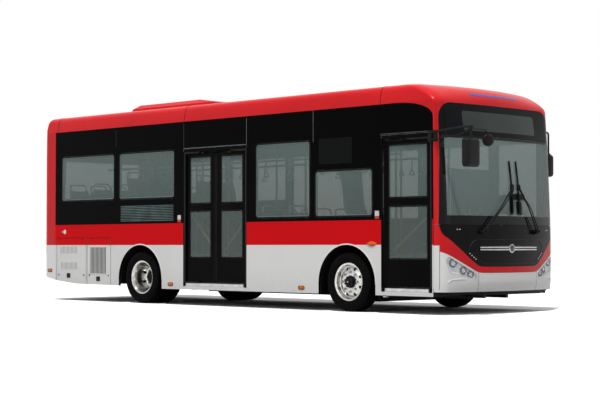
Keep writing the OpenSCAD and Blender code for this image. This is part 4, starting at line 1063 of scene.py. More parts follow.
# leaf: body, station range, inset of the glass, and the side of the meeting edge
leaves = (("rear_door_aft_leaf", 3.657, 4.3515, 0.118, 1), ("rear_door_fore_leaf", 4.3615, 5.056, 0.118,
    -1), ("front_door_leaf", 7.717, 8.589, 0.104, -1))
for body, x0, x1, side_in, meet in leaves:
    seals = []
    for z0, z1 in ((0.734, 1.424), (1.552, 2.245)):
        seals.append(ring("seal", rounded(x0 + side_in - 0.01, z0 - 0.01, x1 - side_in + 0.01, z1 + 0.01,
            0.024), rounded(x0 + side_in + 0.006, z0 + 0.006, x1 - side_in - 0.006, z1 - 0.006, 0.01),
            on_leaf, (-0.002, 0.0015)))
    # rubber fingers on the free edge, and a brush along the foot
    edge = x1 if meet > 0 else x0
    seals.append(block("edge", (at(edge - (0.022 if meet > 0 else -0.001)), -leaf_face - 0.002, 0.378),
        (at(edge + (-0.001 if meet > 0 else 0.022)), -leaf_back + 0.004, 2.292), 0.003, 2))
    seals.append(block("foot", (at(x0 + 0.01), -leaf_face + 0.004, 0.356),
        (at(x1 - 0.01), -leaf_back - 0.006, 0.374), 0.002, 2))
    fit(join(body + "_seals", seals), rubber, body)
    # the moulded bars across the middle, between the panes
    bars = [block("bar", (at(x0 + side_in - 0.012), -leaf_face - 0.004, z),
        (at(x1 - side_in + 0.012), -leaf_face + 0.002, z + 0.022), 0.003, 2) for z in (1.448, 1.506)]
    fit(join(body + "_middle_bars", bars), door_black, body)
    # inside: a grab bar that slants over the lower pane, from the free edge up to the post side
    hinge_x, free_x = (x0 + 0.07, x1 - 0.07) if meet > 0 else (x1 - 0.07, x0 + 0.07)
    inside = -leaf_back + 0.055
    grab = rod("grab", [(at(free_x), -leaf_back + 0.001, 0.8), (at(free_x), inside, 0.8),
        (at(hinge_x), inside, 1.36), (at(hinge_x), -leaf_back + 0.001, 1.36)], 0.0155, 0.05, 5)
    fit(grab, rail_yellow, body)

# rubber stop strips round both doorways, and the header covers over the leaves
surrounds, doorways = [], ((3.647, 5.066), (7.707, 8.599))
for x0, x1 in doorways:
    for a, b in ((x0 + 0.0005, x0 + 0.007), (x1 - 0.007, x1 - 0.0005)):
        surrounds.append(block("jamb", (at(a), -1.2245, 0.336), (at(b), -1.19, 2.384), 0.0015, 1))
fit(join("doorway_edges", surrounds), rubber)
coat("door_tracks", bare_alloy)
covers = [block("cover", (at(x0 + 0.006), -1.2242, 2.334), (at(x1 - 0.006), -1.2215, 2.3845), 0.001, 1)
    for x0, x1 in doorways]
fit(join("door_header_covers", covers), door_black)
gear_covers = [block("gear", (at(x0 + 0.02), -1.085, 2.336), (at(x1 - 0.02), -1.07, 2.43), 0.004, 2)
    for x0, x1 in doorways]
fit(join("door_gear_covers", gear_covers), door_black)

# sills: bright ribbed treads in front of the leaves, with the dark feet of the posts
sills = []
for x0, x1 in ((3.72, 4.99), (7.78, 8.53)):
    sills.append(block("sill", (at(x0), -1.2249, 0.2965), (at(x1), -1.222, 0.3345), 0.001, 1))
    for k in range(3):
        sills.append(block("rib", (at(x0), -1.2255, 0.302 + k * 0.011),
            (at(x1), -1.2245, 0.306 + k * 0.011), 0.0004, 1))
    sills.append(block("tread", (at(x0), -1.2235, 0.3355), (at(x1), -1.1915, 0.3385), 0.001, 1))
fit(join("door_sills", sills), bare_alloy)
feet = []
for x in (3.672, 5.041, 8.574, 7.742):
    feet.append(block("foot", (at(x - 0.024), -1.2265, 0.29), (at(x + 0.024), -1.2245, 0.352), 0.002, 2))
fit(join("door_post_feet", feet), door_black)
post_black = surface("black_zinc_plated_steel", "#121213", "#0C0C0C", 0.4, relief=0.0015, spec=0.15)
for node in ("front_door_post", "rear_door_aft_post", "rear_door_fore_post"):
    coat(node, post_black)

# Trim on the window band. Thin grey sealant lines frame the rear doorway's
# hood and part the bonded panels, as on the real cladding.
line_grey = surface("grey_joint_sealant", "#6E7474", "#5C6161", 0.5, patch=0.1)


def line(x0, z0, x1, z1, width=0.006):
    """A raised joint line on the door side, level or upright."""
    low = (at(min(x0, x1) - width / 2), -half_w - 0.0012, min(z0, z1) - width / 2)
    high = (at(max(x0, x1) + width / 2), -half_w + 0.001, max(z0, z1) + width / 2)
    return block("line", low, high, 0.0005, 1)


bright_lines = [line(3.655, 2.392, 5.062, 2.392), line(5.062, 2.392, 5.062, 2.77),
    line(6.433, 2.36, 6.433, 2.795), line(7.7, 2.402, 8.6, 2.402, 0.004)]
fit(join("band_joint_lines", bright_lines), line_grey)
dim_grey = surface("dark_joint_sealant", "#2E3030", "#242626", 0.5, patch=0.1)
dim_lines = [line(3.655, 2.392, 3.655, 2.78, 0.005), line(1.99, 2.5, 1.99, 2.76, 0.004)]
fit(join("band_faint_joints", dim_lines), dim_grey)

# seams of the roof cladding, closed with dark sealant
seam_rows = []
for x in (0.416, 3.66, 7.692):
    rows = [[(at(x + dx), y * 1.0004, z + 0.0002) for y, z in roof_line()] for dx in (-0.0035, 0.0035)]
    seam_rows.append(modify(outward(sheet_of("seam", rows), ((at(x), 0, roof_top), (0, 0, 1))),
        "SOLIDIFY", thickness=0.004, offset=0.0))
fit(join("roof_seams", seam_rows), rubber)

# Side display. A blank matrix board behind dark glass over the low window.
side_board = block("side_display", (at(6.542), -half_w - 0.002, 2.041),
    (at(7.178), -half_w + 0.001, 2.395), 0.001, 1)
dark_board = surface("led_matrix_board_behind_dark_glass", "#0B0D0E", "#08090A", 0.12, patch=0.3,
    relief=0.008, depth=0.06, spec=0.05)
fit(side_board, dark_board)

# Louvres. Ten teal-grey aluminium blades in the recess behind the last window
# of each side, over the battery room.
blade_teal = surface("teal_anodised_louvre_blade", "#66827F", "#425957", 0.35, patch=0.2, depth=0.05,
    metal=0.2)
for sign, name in ((-1, "right_louvre_blades"), (1, "left_louvre_blades")):
    blades = []
    for i in range(10):
        z = 1.294 + i * 0.0258
        outline = [(1.212, z + 0.005), (1.2235, z + 0.0015), (1.2235, z + 0.008), (1.213, z + 0.0115)]
        points = [(at(x), sign * y, zz) for x in (2.11, 3.411) for y, zz in outline]
        faces = [(0, 1, 2, 3), (7, 6, 5, 4), (0, 4, 5, 1), (1, 5, 6, 2), (2, 6, 7, 3), (3, 7, 4, 0)]
        blades.append(tidy_mesh(from_faces("blade", points, faces)))
    fit(join(name, blades), blade_teal)
    # the black back of the recess also stands for the shade between the blades
    back = block("louvre_back", (at(2.1035), sign * 1.2052 - (0.0 if sign > 0 else 0.0012), 1.2835),
        (at(3.4175), sign * 1.2052 + (0.0012 if sign > 0 else 0.0), 1.5475), 0)
    back = modify(back, "BEVEL", width=0.0003, segments=1)
    back.name = name.replace("blades", "back")
    fit(back, grille_black_and_slot_shade)

# Skirt fittings of the door side: pressed louvres, a slatted grille, flap
# seams and latches, drain vents, lamps, tags and the charging cap.


def strip(name, low, high, proud=0.0015, deep=0.002, edge=0.0006):
    """A thin plate on the door side's wall, from (station, height) to (station, height)."""
    return block(name, (at(low[0]), -half_w - proud, low[1]), (at(high[0]), -half_w + deep, high[1]),
        edge, 1)


shade = surface("shadowed_press_louvre", "#74767A", "#66686C", 0.5)
pressed, slots = [], []
for x0, x1, z0, z1 in ((0.489, 0.964, 0.775, 0.9), (0.514, 0.964, 0.514, 0.639)):
    count = 13
    pitch = (x1 - x0) / count
    for i in range(count):
        a = x0 + i * pitch
        pressed.append(strip("hood", (a, z0), (a + pitch * 0.52, z1), 0.0022, 0.001, 0.0009))
        slots.append(strip("slot", (a + pitch * 0.56, z0 + 0.006), (a + pitch * 0.86, z1 - 0.006), 0.0006,
            0.001, 0.0002))
fit(join("skirt_louvres", pressed), pale_paint, "aft_service_door")
fit(join("skirt_louvre_slots", slots), shade, "aft_service_door")

# black back behind the bars: it also stands for the shade in the slots
grille = [strip("back", (1.315, 0.453), (1.737, 0.881), 0.0005, 0.001, 0.0002)]
bars = []
for i in range(12):
    a = 1.322 + i * 0.0345
    bars.append(strip("bar", (a, 0.457), (a + 0.0135, 0.877), 0.0022, 0.0, 0.0008))
frame_strips = [strip("frame", a, b, 0.0026, 0.0, 0.001) for a, b in (((1.303, 0.441), (1.317, 0.893)),
    ((1.735, 0.441), (1.749, 0.893)), ((1.303, 0.441), (1.749, 0.455)), ((1.303, 0.879), (1.749, 0.893)))]
fit(join("battery_room_grille_back", grille), grille_black_and_slot_shade, "fore_service_door")
fit(join("battery_room_grille_bars", bars), pale_paint, "fore_service_door")
fit(join("battery_room_grille_frame", frame_strips), pale_paint, "fore_service_door")

# outlines of the two lift-up flaps, and the finger latches near their feet
seam_dark = surface("shadow_in_a_panel_joint", "#5A5957", "#4B4A48", 0.7, patch=0.1)
for body, x0, x1, foot in (("aft_service_door", 0.4045, 1.2095, 0.34),
        ("fore_service_door", 1.2425, 1.8595, 0.29)):
    edges = [strip("e", (x0, foot), (x0 + 0.0035, 1.028), 0.0004, 0.001, 0.0001),
        strip("e", (x1 - 0.0035, foot), (x1, 1.028), 0.0004, 0.001, 0.0001)]
    fit(join(body + "_edges", edges), seam_dark, body)
    latches = []
    for x in (x0 + 0.06, x1 - 0.06):
        latch = peg(0.014, 0.006, 28, at(x), -half_w - 0.001, 0.425)
        latches.append(modify(latch, "BEVEL", width=0.001, segments=2))
    fit(join(body + "_latches", latches), post_black, body)

for x, z in ((0.736, 0.414), (1.535, 0.371)):
    body = "aft_service_door" if x < 1.2 else "fore_service_door"
    frame_piece = ring("vent", rounded(x - 0.05, z - 0.038, x + 0.05, z + 0.038, 0.01),
        rounded(x - 0.028, z - 0.021, x + 0.028, z + 0.021, 0.006), on_wall(-1), (-0.002, 0.003))
    fins = [strip("fin", (x - 0.029, z - 0.019 + i * 0.0125), (x + 0.029, z - 0.013 + i * 0.0125), 0.003,
        0.002, 0.001) for i in range(4)]
    fit(join("drain_vent_" + body, [frame_piece] + fins), post_black, body)
# black backs behind the fins: they also stand for the shade in the vents
for body, x, z in (("aft_service_door", 0.736, 0.414), ("fore_service_door", 1.535, 0.371)):
    fit(strip("drain_vent_back_" + body, (x - 0.027, z - 0.02), (x + 0.027, z + 0.02), 0.0008, 0.001,
        0.0002), grille_black_and_slot_shade, body)

# amber marker lamps along the skirt, each a ribbed lens in a black seat
amber = surface("amber_acrylic_lens", "#DC6206", "#C65404", 0.18, patch=0.03, relief=0.004, depth=0.3,
    spec=0.2, coat=0.1)


def oval(cx, cz, a, b, steps=32):
    return [(cx + a * math.cos(math.tau * i / steps), cz + b * math.sin(math.tau * i / steps))
        for i in range(steps)]


def crown_faces(rings, n):
    """Faces of rings of n points that close on one last point."""
    last = (rings - 1) * n
    return loop_faces(rings - 1, n) + [(last + i, last + (i + 1) % n, rings * n) for i in range(n)]


def dome(name, outline, centre, place, low, high, rings=5):
    """A lens: an outline at height low rising to a soft crown at height high."""
    points = []
    for k in range(rings):
        t = k / rings
        shrink, rise = math.cos(t * math.pi / 2), math.sin(t * math.pi / 2)
        points += [place(centre[0] + (x - centre[0]) * shrink, centre[1] + (z - centre[1]) * shrink,
            lerp(low, high, rise)) for x, z in outline]
    points.append(place(*centre, high))
    foot = tuple(reversed(range(len(outline))))
    return tidy_mesh(from_faces(name, points, crown_faces(rings, len(outline)) + [foot]))


def marker_lamp(x, z, s):
    """A marker lamp's lens and its rubber seat, on one side wall."""
    outline = rounded(x - 0.058, z - 0.021, x + 0.058, z + 0.021, 0.02)
    return (dome("lens", outline, (x, z), on_wall(s), -0.001, 0.009),
        ring("seat", rounded(x - 0.064, z - 0.027, x + 0.064, z + 0.027, 0.026), outline, on_wall(s),
        (-0.002, 0.004)))


lenses, seats = [], []
for x, z in ((3.35, 0.313), (6.199, 0.314)):
    for s in (-1, 1):
        lens, seat = marker_lamp(x, z, s)
        lenses.append(lens)
        seats.append(seat)
# the turn indicator ahead of the front wheel, an almond-shaped lens
for s in (-1, 1):
    almond = [(x, 0.929 + (z - 0.929) * (1 - 0.35 * abs(x - 7.539) / 0.085))
        for x, z in oval(7.539, 0.929, 0.088, 0.036)]
    lenses.append(dome("lens", almond, (7.539, 0.929), on_wall(s), -0.001, 0.016))
fit(join("amber_side_lamps", lenses), amber, angle=60)
fit(join("amber_lamp_seats", seats), rubber)

# cap of the charging socket, with a lock beside it in the same white
white_cap = surface("white_polyamide_cap", "#E4E4E2", "#DADAD7", 0.35, patch=0.03, depth=0.05)
cap_rings = [ring("rim", oval(0.624, 1.136, 0.036, 0.036), oval(0.624, 1.136, 0.027, 0.027), on_wall(-1),
    (-0.002, 0.0025)), dome("cap", oval(0.624, 1.136, 0.0265, 0.0265), (0.624, 1.136), on_wall(-1),
    -0.001, 0.0035)]
fit(join("charging_cap", cap_rings), white_cap)
fit(dome("charging_lock", oval(0.56, 1.136, 0.01, 0.01, 20), (0.56, 1.136), on_wall(-1), -0.001, 0.005),
    white_cap)
fit(join("charging_flap_seam", [strip("e", (0.5, 1.036), (1.86, 1.0385), 0.0004, 0.001, 0.0001),
    strip("e", (0.512, 1.1), (0.69, 1.102), 0.0004, 0.001, 0.0001)]),
    surface("red_shadow_line", "#7E0F13", "#6E0C10", 0.6, patch=0.1, depth=0.05))

# blank service tags beside the doors: a white field over a red one
tag_white, tag_red = [], []
for x in (3.553, 7.634):
    tag_white.append(strip("tag", (x - 0.038, 1.306), (x + 0.038, 1.374), 0.0008, 0.001, 0.0002))
    tag_red.append(strip("tag", (x - 0.038, 1.266), (x + 0.038, 1.305), 0.0008, 0.001, 0.0002))
fit(join("door_tags_white", tag_white), surface("white_film", "#D9D2D3", "#C9B9BB", 0.4, patch=0.02,
    depth=0.02))
fit(join("door_tags_red", tag_red), surface("red_film", "#B5222A", "#A21B23", 0.4, patch=0.02,
    depth=0.02))

# rolled lips of the wheel arches, in pale paint
arch_z, arch_r, arch_steps = 0.385, 0.535, 40
lip_section = [(arch_r - 0.001, -0.002), (arch_r + 0.016, -0.002), (arch_r + 0.016, 0.0014),
    (arch_r - 0.001, 0.0035)]


def bar_faces(steps):
    """Faces of a bar with four points to a section, closed at both ends."""
    return loop_faces(steps, 4) + [(0, 1, 2, 3), tuple(steps * 4 + k for k in (3, 2, 1, 0))]


arches = []
for s in (-1, 1):
    for axle in (2.605, 7.07):
        points = [on_wall(s)(axle + r * math.cos(a), arch_z + r * math.sin(a), d)
            for a in spread(0, math.pi, arch_steps) for r, d in lip_section]
        arches.append(tidy_mesh(from_faces("arch", points, bar_faces(arch_steps))))
fit(join("wheel_arch_lips", arches), pale_paint)

# Headlamps. A clear polycarbonate cover over a silver bowl with three round
# projector lamps, set flush into the band and bumper on each corner.


def front_point(y, z, proud=0.0):
    """Point on the nose at a place across and a height, standing proud along the skin."""
    u = round_at(min(abs(y), half_w - 0.0005)) * (1 if y >= 0 else -1)
    x, side = plan(abs(u))
    if abs(u) <= bow_len:
        away = Vector((x - bow_x, side * (1 if y >= 0 else -1), 0)).normalized()
    else:
        away = Vector((x - corner_x, (side - corner_y) * (1 if y >= 0 else -1), 0)).normalized()
    return nose(u, z) + away * proud


def patch_on_nose(name, outline, proud, steps=7):
    """A skin that fills an outline (across, height) on the nose, in rings to its middle."""
    n = len(outline)
    cy, cz = sum(p[0] for p in outline) / n, sum(p[1] for p in outline) / n
    points = []
    for k in range(steps):
        t = 1 - k / steps
        points += [front_point(cy + (y - cy) * t, cz + (z - cz) * t, proud(t) if callable(proud)
            else proud) for y, z in outline]
    points.append(front_point(cy, cz, proud(0) if callable(proud) else proud))
    return outward(tidy_mesh(from_faces(name, points, crown_faces(steps, n))),
        (front_point(cy, cz), (1, 0, 0)))


def dense(outline, step=0.03):
    """Adds points along an outline's long edges, so that a patch follows the curved nose."""
    out = []
    for i, a in enumerate(outline):
        b = outline[(i + 1) % len(outline)]
        count = max(1, int(math.dist(a, b) / step))
        out += [(lerp(a[0], b[0], k / count), lerp(a[1], b[1], k / count)) for k in range(count)]
    return out


bowl_silver = surface("vacuum_metallised_bowl", "#E4E5E6", "#CDCFD1", 0.3, relief=0.01, metal=0.15,
    spec=0.5)
clear_cover = surface("clear_polycarbonate_cover", "#EEF2F4", "#E8EDF0", 0.03, patch=0.5, relief=0.1,
    depth=0.004, ior=1.58, alpha=0.1, spec=0.3)
bezel_black = surface("black_lamp_bezel", "#222326", "#16171A", 0.3, relief=0.003)
lamp_seam = surface("grey_lamp_gasket", "#A4A6A8", "#969899", 0.5, relief=0.003)
lens_glass = surface("pressed_projector_lens", "#C4CAD4", "#6C747F", 0.05, patch=0.012, relief=0.01,
    depth=0.2, metal=0.4, coat=1.0, coat_rough=0.02)
lamp_dense = dense(soft_lamp)
shrunk = [(0.985 * (y - 0.92) + 0.92, 0.975 * (z - 0.6) + 0.6) for y, z in lamp_dense]
for s, side in ((1, "left"), (-1, "right")):
    bowl = patch_on_nose("bowl", [(s * y, z) for y, z in lamp_dense], lambda t: -0.024 if t < 0.95 else
        -0.006)
    fit(bowl, bowl_silver, hides=("headlamps",) if s > 0 else (), angle=40)
    bowl.name = side + "_headlamp_bowl"
    cover = patch_on_nose(side + "_headlamp_cover", [(s * y, z) for y, z in shrunk], -0.0012)
    fit(walled(cover, 0.003), clear_cover)
    lamps, bezels = [], []
    for y, z, r in ((1.04, 0.678, 0.052), (0.88, 0.58, 0.047), (0.76, 0.53, 0.045)):
        middle = front_point(s * y, z, -0.022)
        outer = front_point(s * y, z, 0.02)
        along = (outer - middle).normalized()
        turn = along.to_track_quat("Z", "Y").to_matrix().to_4x4()
        for kind, profile, store in (("bezel", [(r * 1.12, 0.0), (r * 1.12, 0.012), (r * 0.98, 0.015),
                (r * 0.76, 0.004), (r * 0.74, 0.0)], bezels),
                ("lens", [(r * 0.75, 0.001), (r * 0.7, 0.008), (r * 0.5, 0.0135), (r * 0.22, 0.016),
                (0, 0.0165)], lamps)):
            shape = turned(kind, profile, (0, 0, 0), 36, closed=kind == "bezel")
            shape.data.transform(Matrix.Translation(middle) @ turn @ Matrix.Rotation(math.pi / 2, 4, "X"))
            store.append(shape)
    fit(join(side + "_headlamp_bezels", bezels), bezel_black)
    fit(join(side + "_headlamp_lenses", lamps), lens_glass)
    # the seal round the cover
    rim = ring(side + "_headlamp_seal", [(s * y, z) for y, z in lamp_dense],
        [(s * y, z) for y, z in shrunk], front_point, (-0.01, 0.0008))
    fit(rim, lamp_seam)

# white running lights, four along each rising edge of the mask
led_white = surface("frosted_led_window", "#FFFFFF", "#F6F7F9", 0.2, patch=0.02, relief=0.004)
leds = []
for s in (-1, 1):
    for i in range(4):
        y = 0.684 + i * 0.034
        z = v_line(y, mask_low, mask_rise) + 0.058
        quad = [(-0.013, -0.003), (0.007, -0.013), (0.013, 0.003), (-0.007, 0.013)]
        leds.append(patch_on_nose("led",
            [(s * (y + a), z + b) for a, b in soften([(0.75 * c, 0.75 * d) for c, d in quad], 0.003, 2)],
            lambda t: 0.0012, 3))
fit(join("running_lights", leds), led_white)

# Grille moulding. A raised hexagonal rib on the mask frames a double chromed
# bar with a plain round disc at its middle.


def rib_on_nose(name, path, width, tall, closed=True):
    """A raised rib that follows a path (across, height) over the nose."""
    n, points = len(path), []
    for i in range(n):
        before, after = (i - 1, (i + 1) % n) if closed else (max(i - 1, 0), min(i + 1, n - 1))
        along = (Vector(path[after]) - Vector(path[before])).normalized()
        across_path = Vector((-along.y, along.x))
        for off, up in ((-width / 2, -0.002), (-width / 4, tall), (width / 4, tall), (width / 2, -0.002)):
            p = Vector(path[i]) + across_path * off
            points.append(front_point(p.x, p.y, up))
    faces = [tuple(v % (4 * n) for v in face) for face in loop_faces(n, 4)] if closed else bar_faces(n
        - 1)
    return tidy_mesh(from_faces(name, points, faces))


hexagon = [(-0.7, 0.985), (0.7, 0.985), (0.815, 0.865), (0.56, 0.662), (-0.56, 0.662), (-0.815, 0.865)]
mask_grey = surface("graphite_gelcoat", "#141516", "#0F1011", 0.45, patch=0.3, relief=0.004, depth=0.04,
    spec=0.12)
fit(rib_on_nose("mask_rib", dense(soften(hexagon, 0.06, 8), 0.04), 0.014, 0.0035), mask_grey)
bars = []
for s in (-1, 1):
    for z0, z1, h in ((0.888, 0.885, 0.0145), (0.855, 0.856, 0.0145)):
        points = []
        for t in spread(0, 1, 18):
            y, z, half = s * lerp(0.055, 0.615, t), lerp(z0, z1, t), h * (1 - 0.15 * t)
            for off, up in ((-half, 0.0), (-half * 0.8, 0.01), (half * 0.2, 0.0135), (half, 0.0)):
                points.append(front_point(y, z + off, up))
        bars.append(tidy_mesh(from_faces("bar", points, bar_faces(18))))
fit(join("chrome_bars", bars), chrome, angle=30)


def faced(piece, place, turn=-math.pi / 2):
    """Moves a turned piece from the origin to its place, by default facing ahead."""
    piece.data.transform(Matrix.Translation(place) @ Matrix.Rotation(turn, 4, "Z"))
    return piece


disc_at = front_point(0, 0.868, 0.0)
disc = turned("centre_disc", [(0, 0.02), (0.03, 0.0195), (0.046, 0.017), (0.05, 0.012), (0.054, 0.015),
    (0.06, 0.013), (0.062, 0.0), (0, 0.0)], (0, 0, 0), 48, closed=False)
fit(faced(disc, disc_at), chrome)
enamel = surface("dark_blue_enamel", "#262C38", "#1C212B", 0.15, patch=0.03, relief=0.004)
plug = turned("disc_enamel", [(0, 0.0225), (0.03, 0.0215), (0.043, 0.0185), (0.044, 0.01), (0, 0.01)],
    (0, 0, 0), 48, closed=False)
fit(faced(plug, disc_at), enamel)

def round_to(x):
    """Distance round the nose at which its outline reaches a station on the corner."""
    low, high = bow_len, outline_len
    for _ in range(40):
        middle = (low + high) / 2
        low, high = (middle, high) if plan(middle)[0] > x else (low, middle)
    return low


def corner_sheet(name, x0, x1, z0, z1, proud, wall, columns=8, rows=24, sides=(-1, 1)):
    """A thin sheet on one corner of the nose between two stations, as a pair."""
    sheets = []
    for s in sides:
        points = []
        for i in range(rows + 1):
            z = lerp(z0, z1, i / rows)
            for j in range(columns + 1):
                u = round_to(lerp(x0, x1, j / columns))
                here, a, b = nose(s * u, z), nose(s * (u - 0.004), z), nose(s * (u + 0.004), z)
                away = Vector((abs(b.y - a.y), s * abs(b.x - a.x), 0)).normalized()
                points.append(here + away * proud)
        sheet = tidy_mesh(from_faces(name, points, grid_faces(rows, columns)))
        outward(sheet, (points[len(points) // 2], (0, s, 0)))
        sheets.append(walled(sheet, wall))
    return join(name, sheets)


seams = [rib_on_nose("seam", [(s * 0.636, lerp(0.318, 0.585, i / 12)) for i in range(13)], 0.007, 0.0006,
    closed=False) for s in (-1, 1)]
fit(join("bumper_joints", seams), seam_dark)
crease = [rib_on_nose("crease",
    [(s * y, z) for y, z in ((1.12, 0.425), (1.1, 0.448), (1.07, 0.462), (1.0, 0.466), (0.93, 0.468),
    (0.86, 0.469))], 0.018, 0.004, closed=False) for s in (-1, 1)]
fit(join("bumper_creases", crease), pale_paint)
# the skirt's end strip and the upright joint ahead of it, on both corners
joint_x, strip_top = 8.702, 0.906
fit(corner_sheet("skirt_end_strips", 8.6195, joint_x, 0.345, strip_top, 0.0008, 0.002), pale_paint)
fit(corner_sheet("pillar_joints", 8.6195, 8.712, 1.176, 1.183, 0.0006, 0.002, rows=1), seam_dark)
fit(corner_sheet("corner_joints", joint_x, joint_x + 0.006, 0.335, strip_top, 0.0006, 0.002, 2),
    seam_dark)

# washer jets under the windscreen
jets = []
for y in (-0.985, -0.945, 0.945, 0.985):
    jets.append(patch_on_nose("jet", [(y + a, 1.118 + b) for a, b in oval(0, 0, 0.011, 0.006, 16)],
        lambda t: 0.004 * (1 - t) + 0.0008, 3))
fit(join("washer_jets", jets), bare_alloy)

# Wipers. Two pantograph wipers: each has a main arm and a thin second arm of
# black steel from a covered pivot, and an upright blade that stays parallel.
wiper_black = surface("matt_black_wiper_steel", "#090909", "#060606", 0.45, patch=0.1, depth=0.08,
    spec=0.08)
wiper_parts = []
for pivot, tip in (((-0.6, 1.085), (0.04, 1.695)), ((0.56, 1.085), (0.19, 1.695))):
    for offset, radius, lift in ((0.0, 0.01, 0.058), (0.055, 0.007, 0.045)):
        start = front_point(pivot[0], pivot[1] + offset * 0.3, lift) + Vector((0, offset, 0))
        knee = front_point(lerp(pivot[0], tip[0], 0.55), lerp(pivot[1], tip[1], 0.55),
            0.062) + Vector((0, offset * 0.8, 0))
        end = front_point(tip[0], tip[1] - offset, 0.04) + Vector((0, offset * 0.25, 0))
        wiper_parts.append(rod("arm", [start, knee, end], radius, 0.05))
        hub = turned("hub", [(0, 0.07), (0.016, 0.068), (0.02, 0.06), (0.022, 0.03), (0.03, 0.006),
            (0.03, 0.0), (0, 0.0)], (0, 0, 0), 24, closed=False)
        wiper_parts.append(faced(hub, front_point(pivot[0] + offset, pivot[1] + offset * 0.3, 0.0)))
    head = front_point(tip[0], tip[1], 0.03)
    wiper_parts.append(block("head", head + Vector((-0.012, -0.034, -0.05)),
        head + Vector((0.012, 0.034, 0.034)), 0.006, 2))
    # blade: a spine, a yoke and the rubber edge, following the glass
    spine = [front_point(tip[0], tip[1] + d, 0.016 + 0.01 * (1 - (d / 0.35) ** 2))
        for d in spread(-0.35, 0.35, 14)]
    wiper_parts.append(rod("spine", spine, 0.0105, 0.0))
    edge_points = [front_point(tip[0], tip[1] + d, 0.0045) for d in spread(-0.35, 0.35, 20)]
    wiper_parts.append(rod("edge", edge_points, 0.0042, 0.0, 2))
    for d in (-0.33, -0.2, -0.07, 0.07, 0.2, 0.33):
        a, b = front_point(tip[0], tip[1] + d, 0.004), front_point(tip[0], tip[1] + d, 0.016 + 0.01
            * (1 - (d / 0.35) ** 2))
        wiper_parts.append(rod("claw", [a, b], 0.005, 0.0, 2))
fit(join("wiper_set", wiper_parts), wiper_black, hides=("wipers",))
# the sensor bracket and the reader's back, dark against the pane
bracket = [rib_on_nose("bracket", path, width, 0.0014, closed=False)
    for path, width in (([(lerp(-0.005, 0.365, i / 8), 1.562) for i in range(9)], 0.105),
    ([(0.03, lerp(1.32, 1.56, i / 6)) for i in range(7)], 0.085),
    ([(0.21, lerp(1.32, 1.5, i / 6)) for i in range(7)], 0.165))]
fit(join("screen_sensor_bracket", bracket), wiper_black)

# Mirrors. Black moulded heads on bent steel tubes; the door side has a long
# arm ahead of the nose, with a round wide-angle mirror beside the main one.
mirror_black = surface("grained_black_abs_housing", "#0F0F10", "#0A0A0A", 0.5, patch=0.2, relief=0.0018,
    depth=0.25, spec=0.12)
mirror_glass = surface("silvered_mirror_glass", "#C5CBD0", "#BFC6CB", 0.03, patch=0.5, relief=0.1,
    depth=0.003, metal=1.0)


def housing(name, x0, x1, y0, y1, z0, z1, radius):
    """A mirror head: a rounded shell that narrows to its front, with a shallow recess behind for the glass.
    """
    outline = rounded(y0, z0, y1, z1, radius, 7)
    cy, cz = (y0 + y1) / 2, (z0 + z1) / 2
    points, n = [], len(outline)
    stations = [(x0 + 0.004, 0.9), (x0, 0.94), (x0 + 0.001, 1.0), (lerp(x0, x1, 0.35), 1.0),
        (lerp(x0, x1, 0.7), 0.965), (lerp(x0, x1, 0.88), 0.9), (lerp(x0, x1, 0.96), 0.8), (x1, 0.62)]
    for x, scale in stations:
        points += [(at(x), cy + (y - cy) * scale, cz + (z - cz) * (1 - (1 - scale) * 0.6))
            for y, z in outline]
    last = len(stations) - 1
    ends = [tuple(range(n)), tuple(last * n + i for i in reversed(range(n)))]
    return tidy_mesh(from_faces(name, points, loop_faces(last, n) + ends))


def mirror_pane(name, x, y0, y1, z0, z1, radius):
    outline = rounded(y0, z0, y1, z1, radius, 6)
    n = len(outline)
    points = [(at(x), y, z) for y, z in outline] + [(at(x - 0.0012), y, z) for y, z in outline]
    faces = [tuple(range(n)), tuple(range(2 * n - 1, n - 1, -1))] + loop_faces(1, n)
    return tidy_mesh(from_faces(name, points, faces))


arm_parts = [block("bracket", (at(8.55), -1.2515, 2.255), (at(8.61), -1.2255, 2.405), 0.006, 3),
    rod("arm", [(at(8.58), -1.24, 2.38), (at(9.22), -1.284, 2.425), (at(9.285), -1.285, 2.41),
    (at(9.3), -1.285, 2.262)], 0.015, 0.07),
    rod("stay", [(at(8.58), -1.24, 2.285), (at(9.1), -1.276, 2.325), (at(9.285), -1.285, 2.385)], 0.0105,
    0.03), rod("link", [(at(8.86), -1.258, 2.396), (at(8.86), -1.258, 2.306)], 0.007),
    rod("round_stalk", [(at(9.28), -1.284, 2.4), (at(9.285), -0.965, 2.39), (at(9.285), -0.905, 2.3)],
    0.0095, 0.05), block("clamp", (at(9.262), -1.31, 2.372), (at(9.325), -1.26, 2.432), 0.008, 3)]
for x, z in ((8.565, 2.385), (8.595, 2.385), (8.565, 2.275), (8.595, 2.275)):
    arm_parts.append(dome("bolt", oval(x, z, 0.008, 0.008, 16), (x, z), lambda a, b,
        d: (at(a), -1.2515 - d, b), -0.001, 0.006))
fit(join("right_mirror_arms", arm_parts), mirror_black)
fit(corner_sheet("mirror_arm_cover", 8.6195, 8.71, 2.262, 2.412, 0.004, 0.006, rows=4, sides=(-1,)),
    mirror_black)
heads = [housing("head", 9.255, 9.35, -1.42, -1.15, 1.905, 2.268, 0.045)]
round_head = turned("round", [(0, 0.048), (0.03, 0.045), (0.058, 0.034), (0.074, 0.018), (0.08, 0.004),
    (0.078, 0.0), (0, 0.001)], (0, 0, 0), 40, closed=False)
heads.append(faced(round_head, (at(9.262), -0.895, 2.262), math.radians(-128)))
heads.append(dome("boss", oval(-0.9, 2.262, 0.02, 0.02, 24), (-0.9, 2.262), lambda a, b,
    d: (at(9.288) + d, a - 0.014, b), -0.004, 0.018))
fit(join("right_mirror_heads", heads), mirror_black, hides=("right_mirror",))
fit(mirror_pane("right_mirror_glass", 9.2549, -1.405, -1.165, 1.925, 2.25, 0.03), mirror_glass)

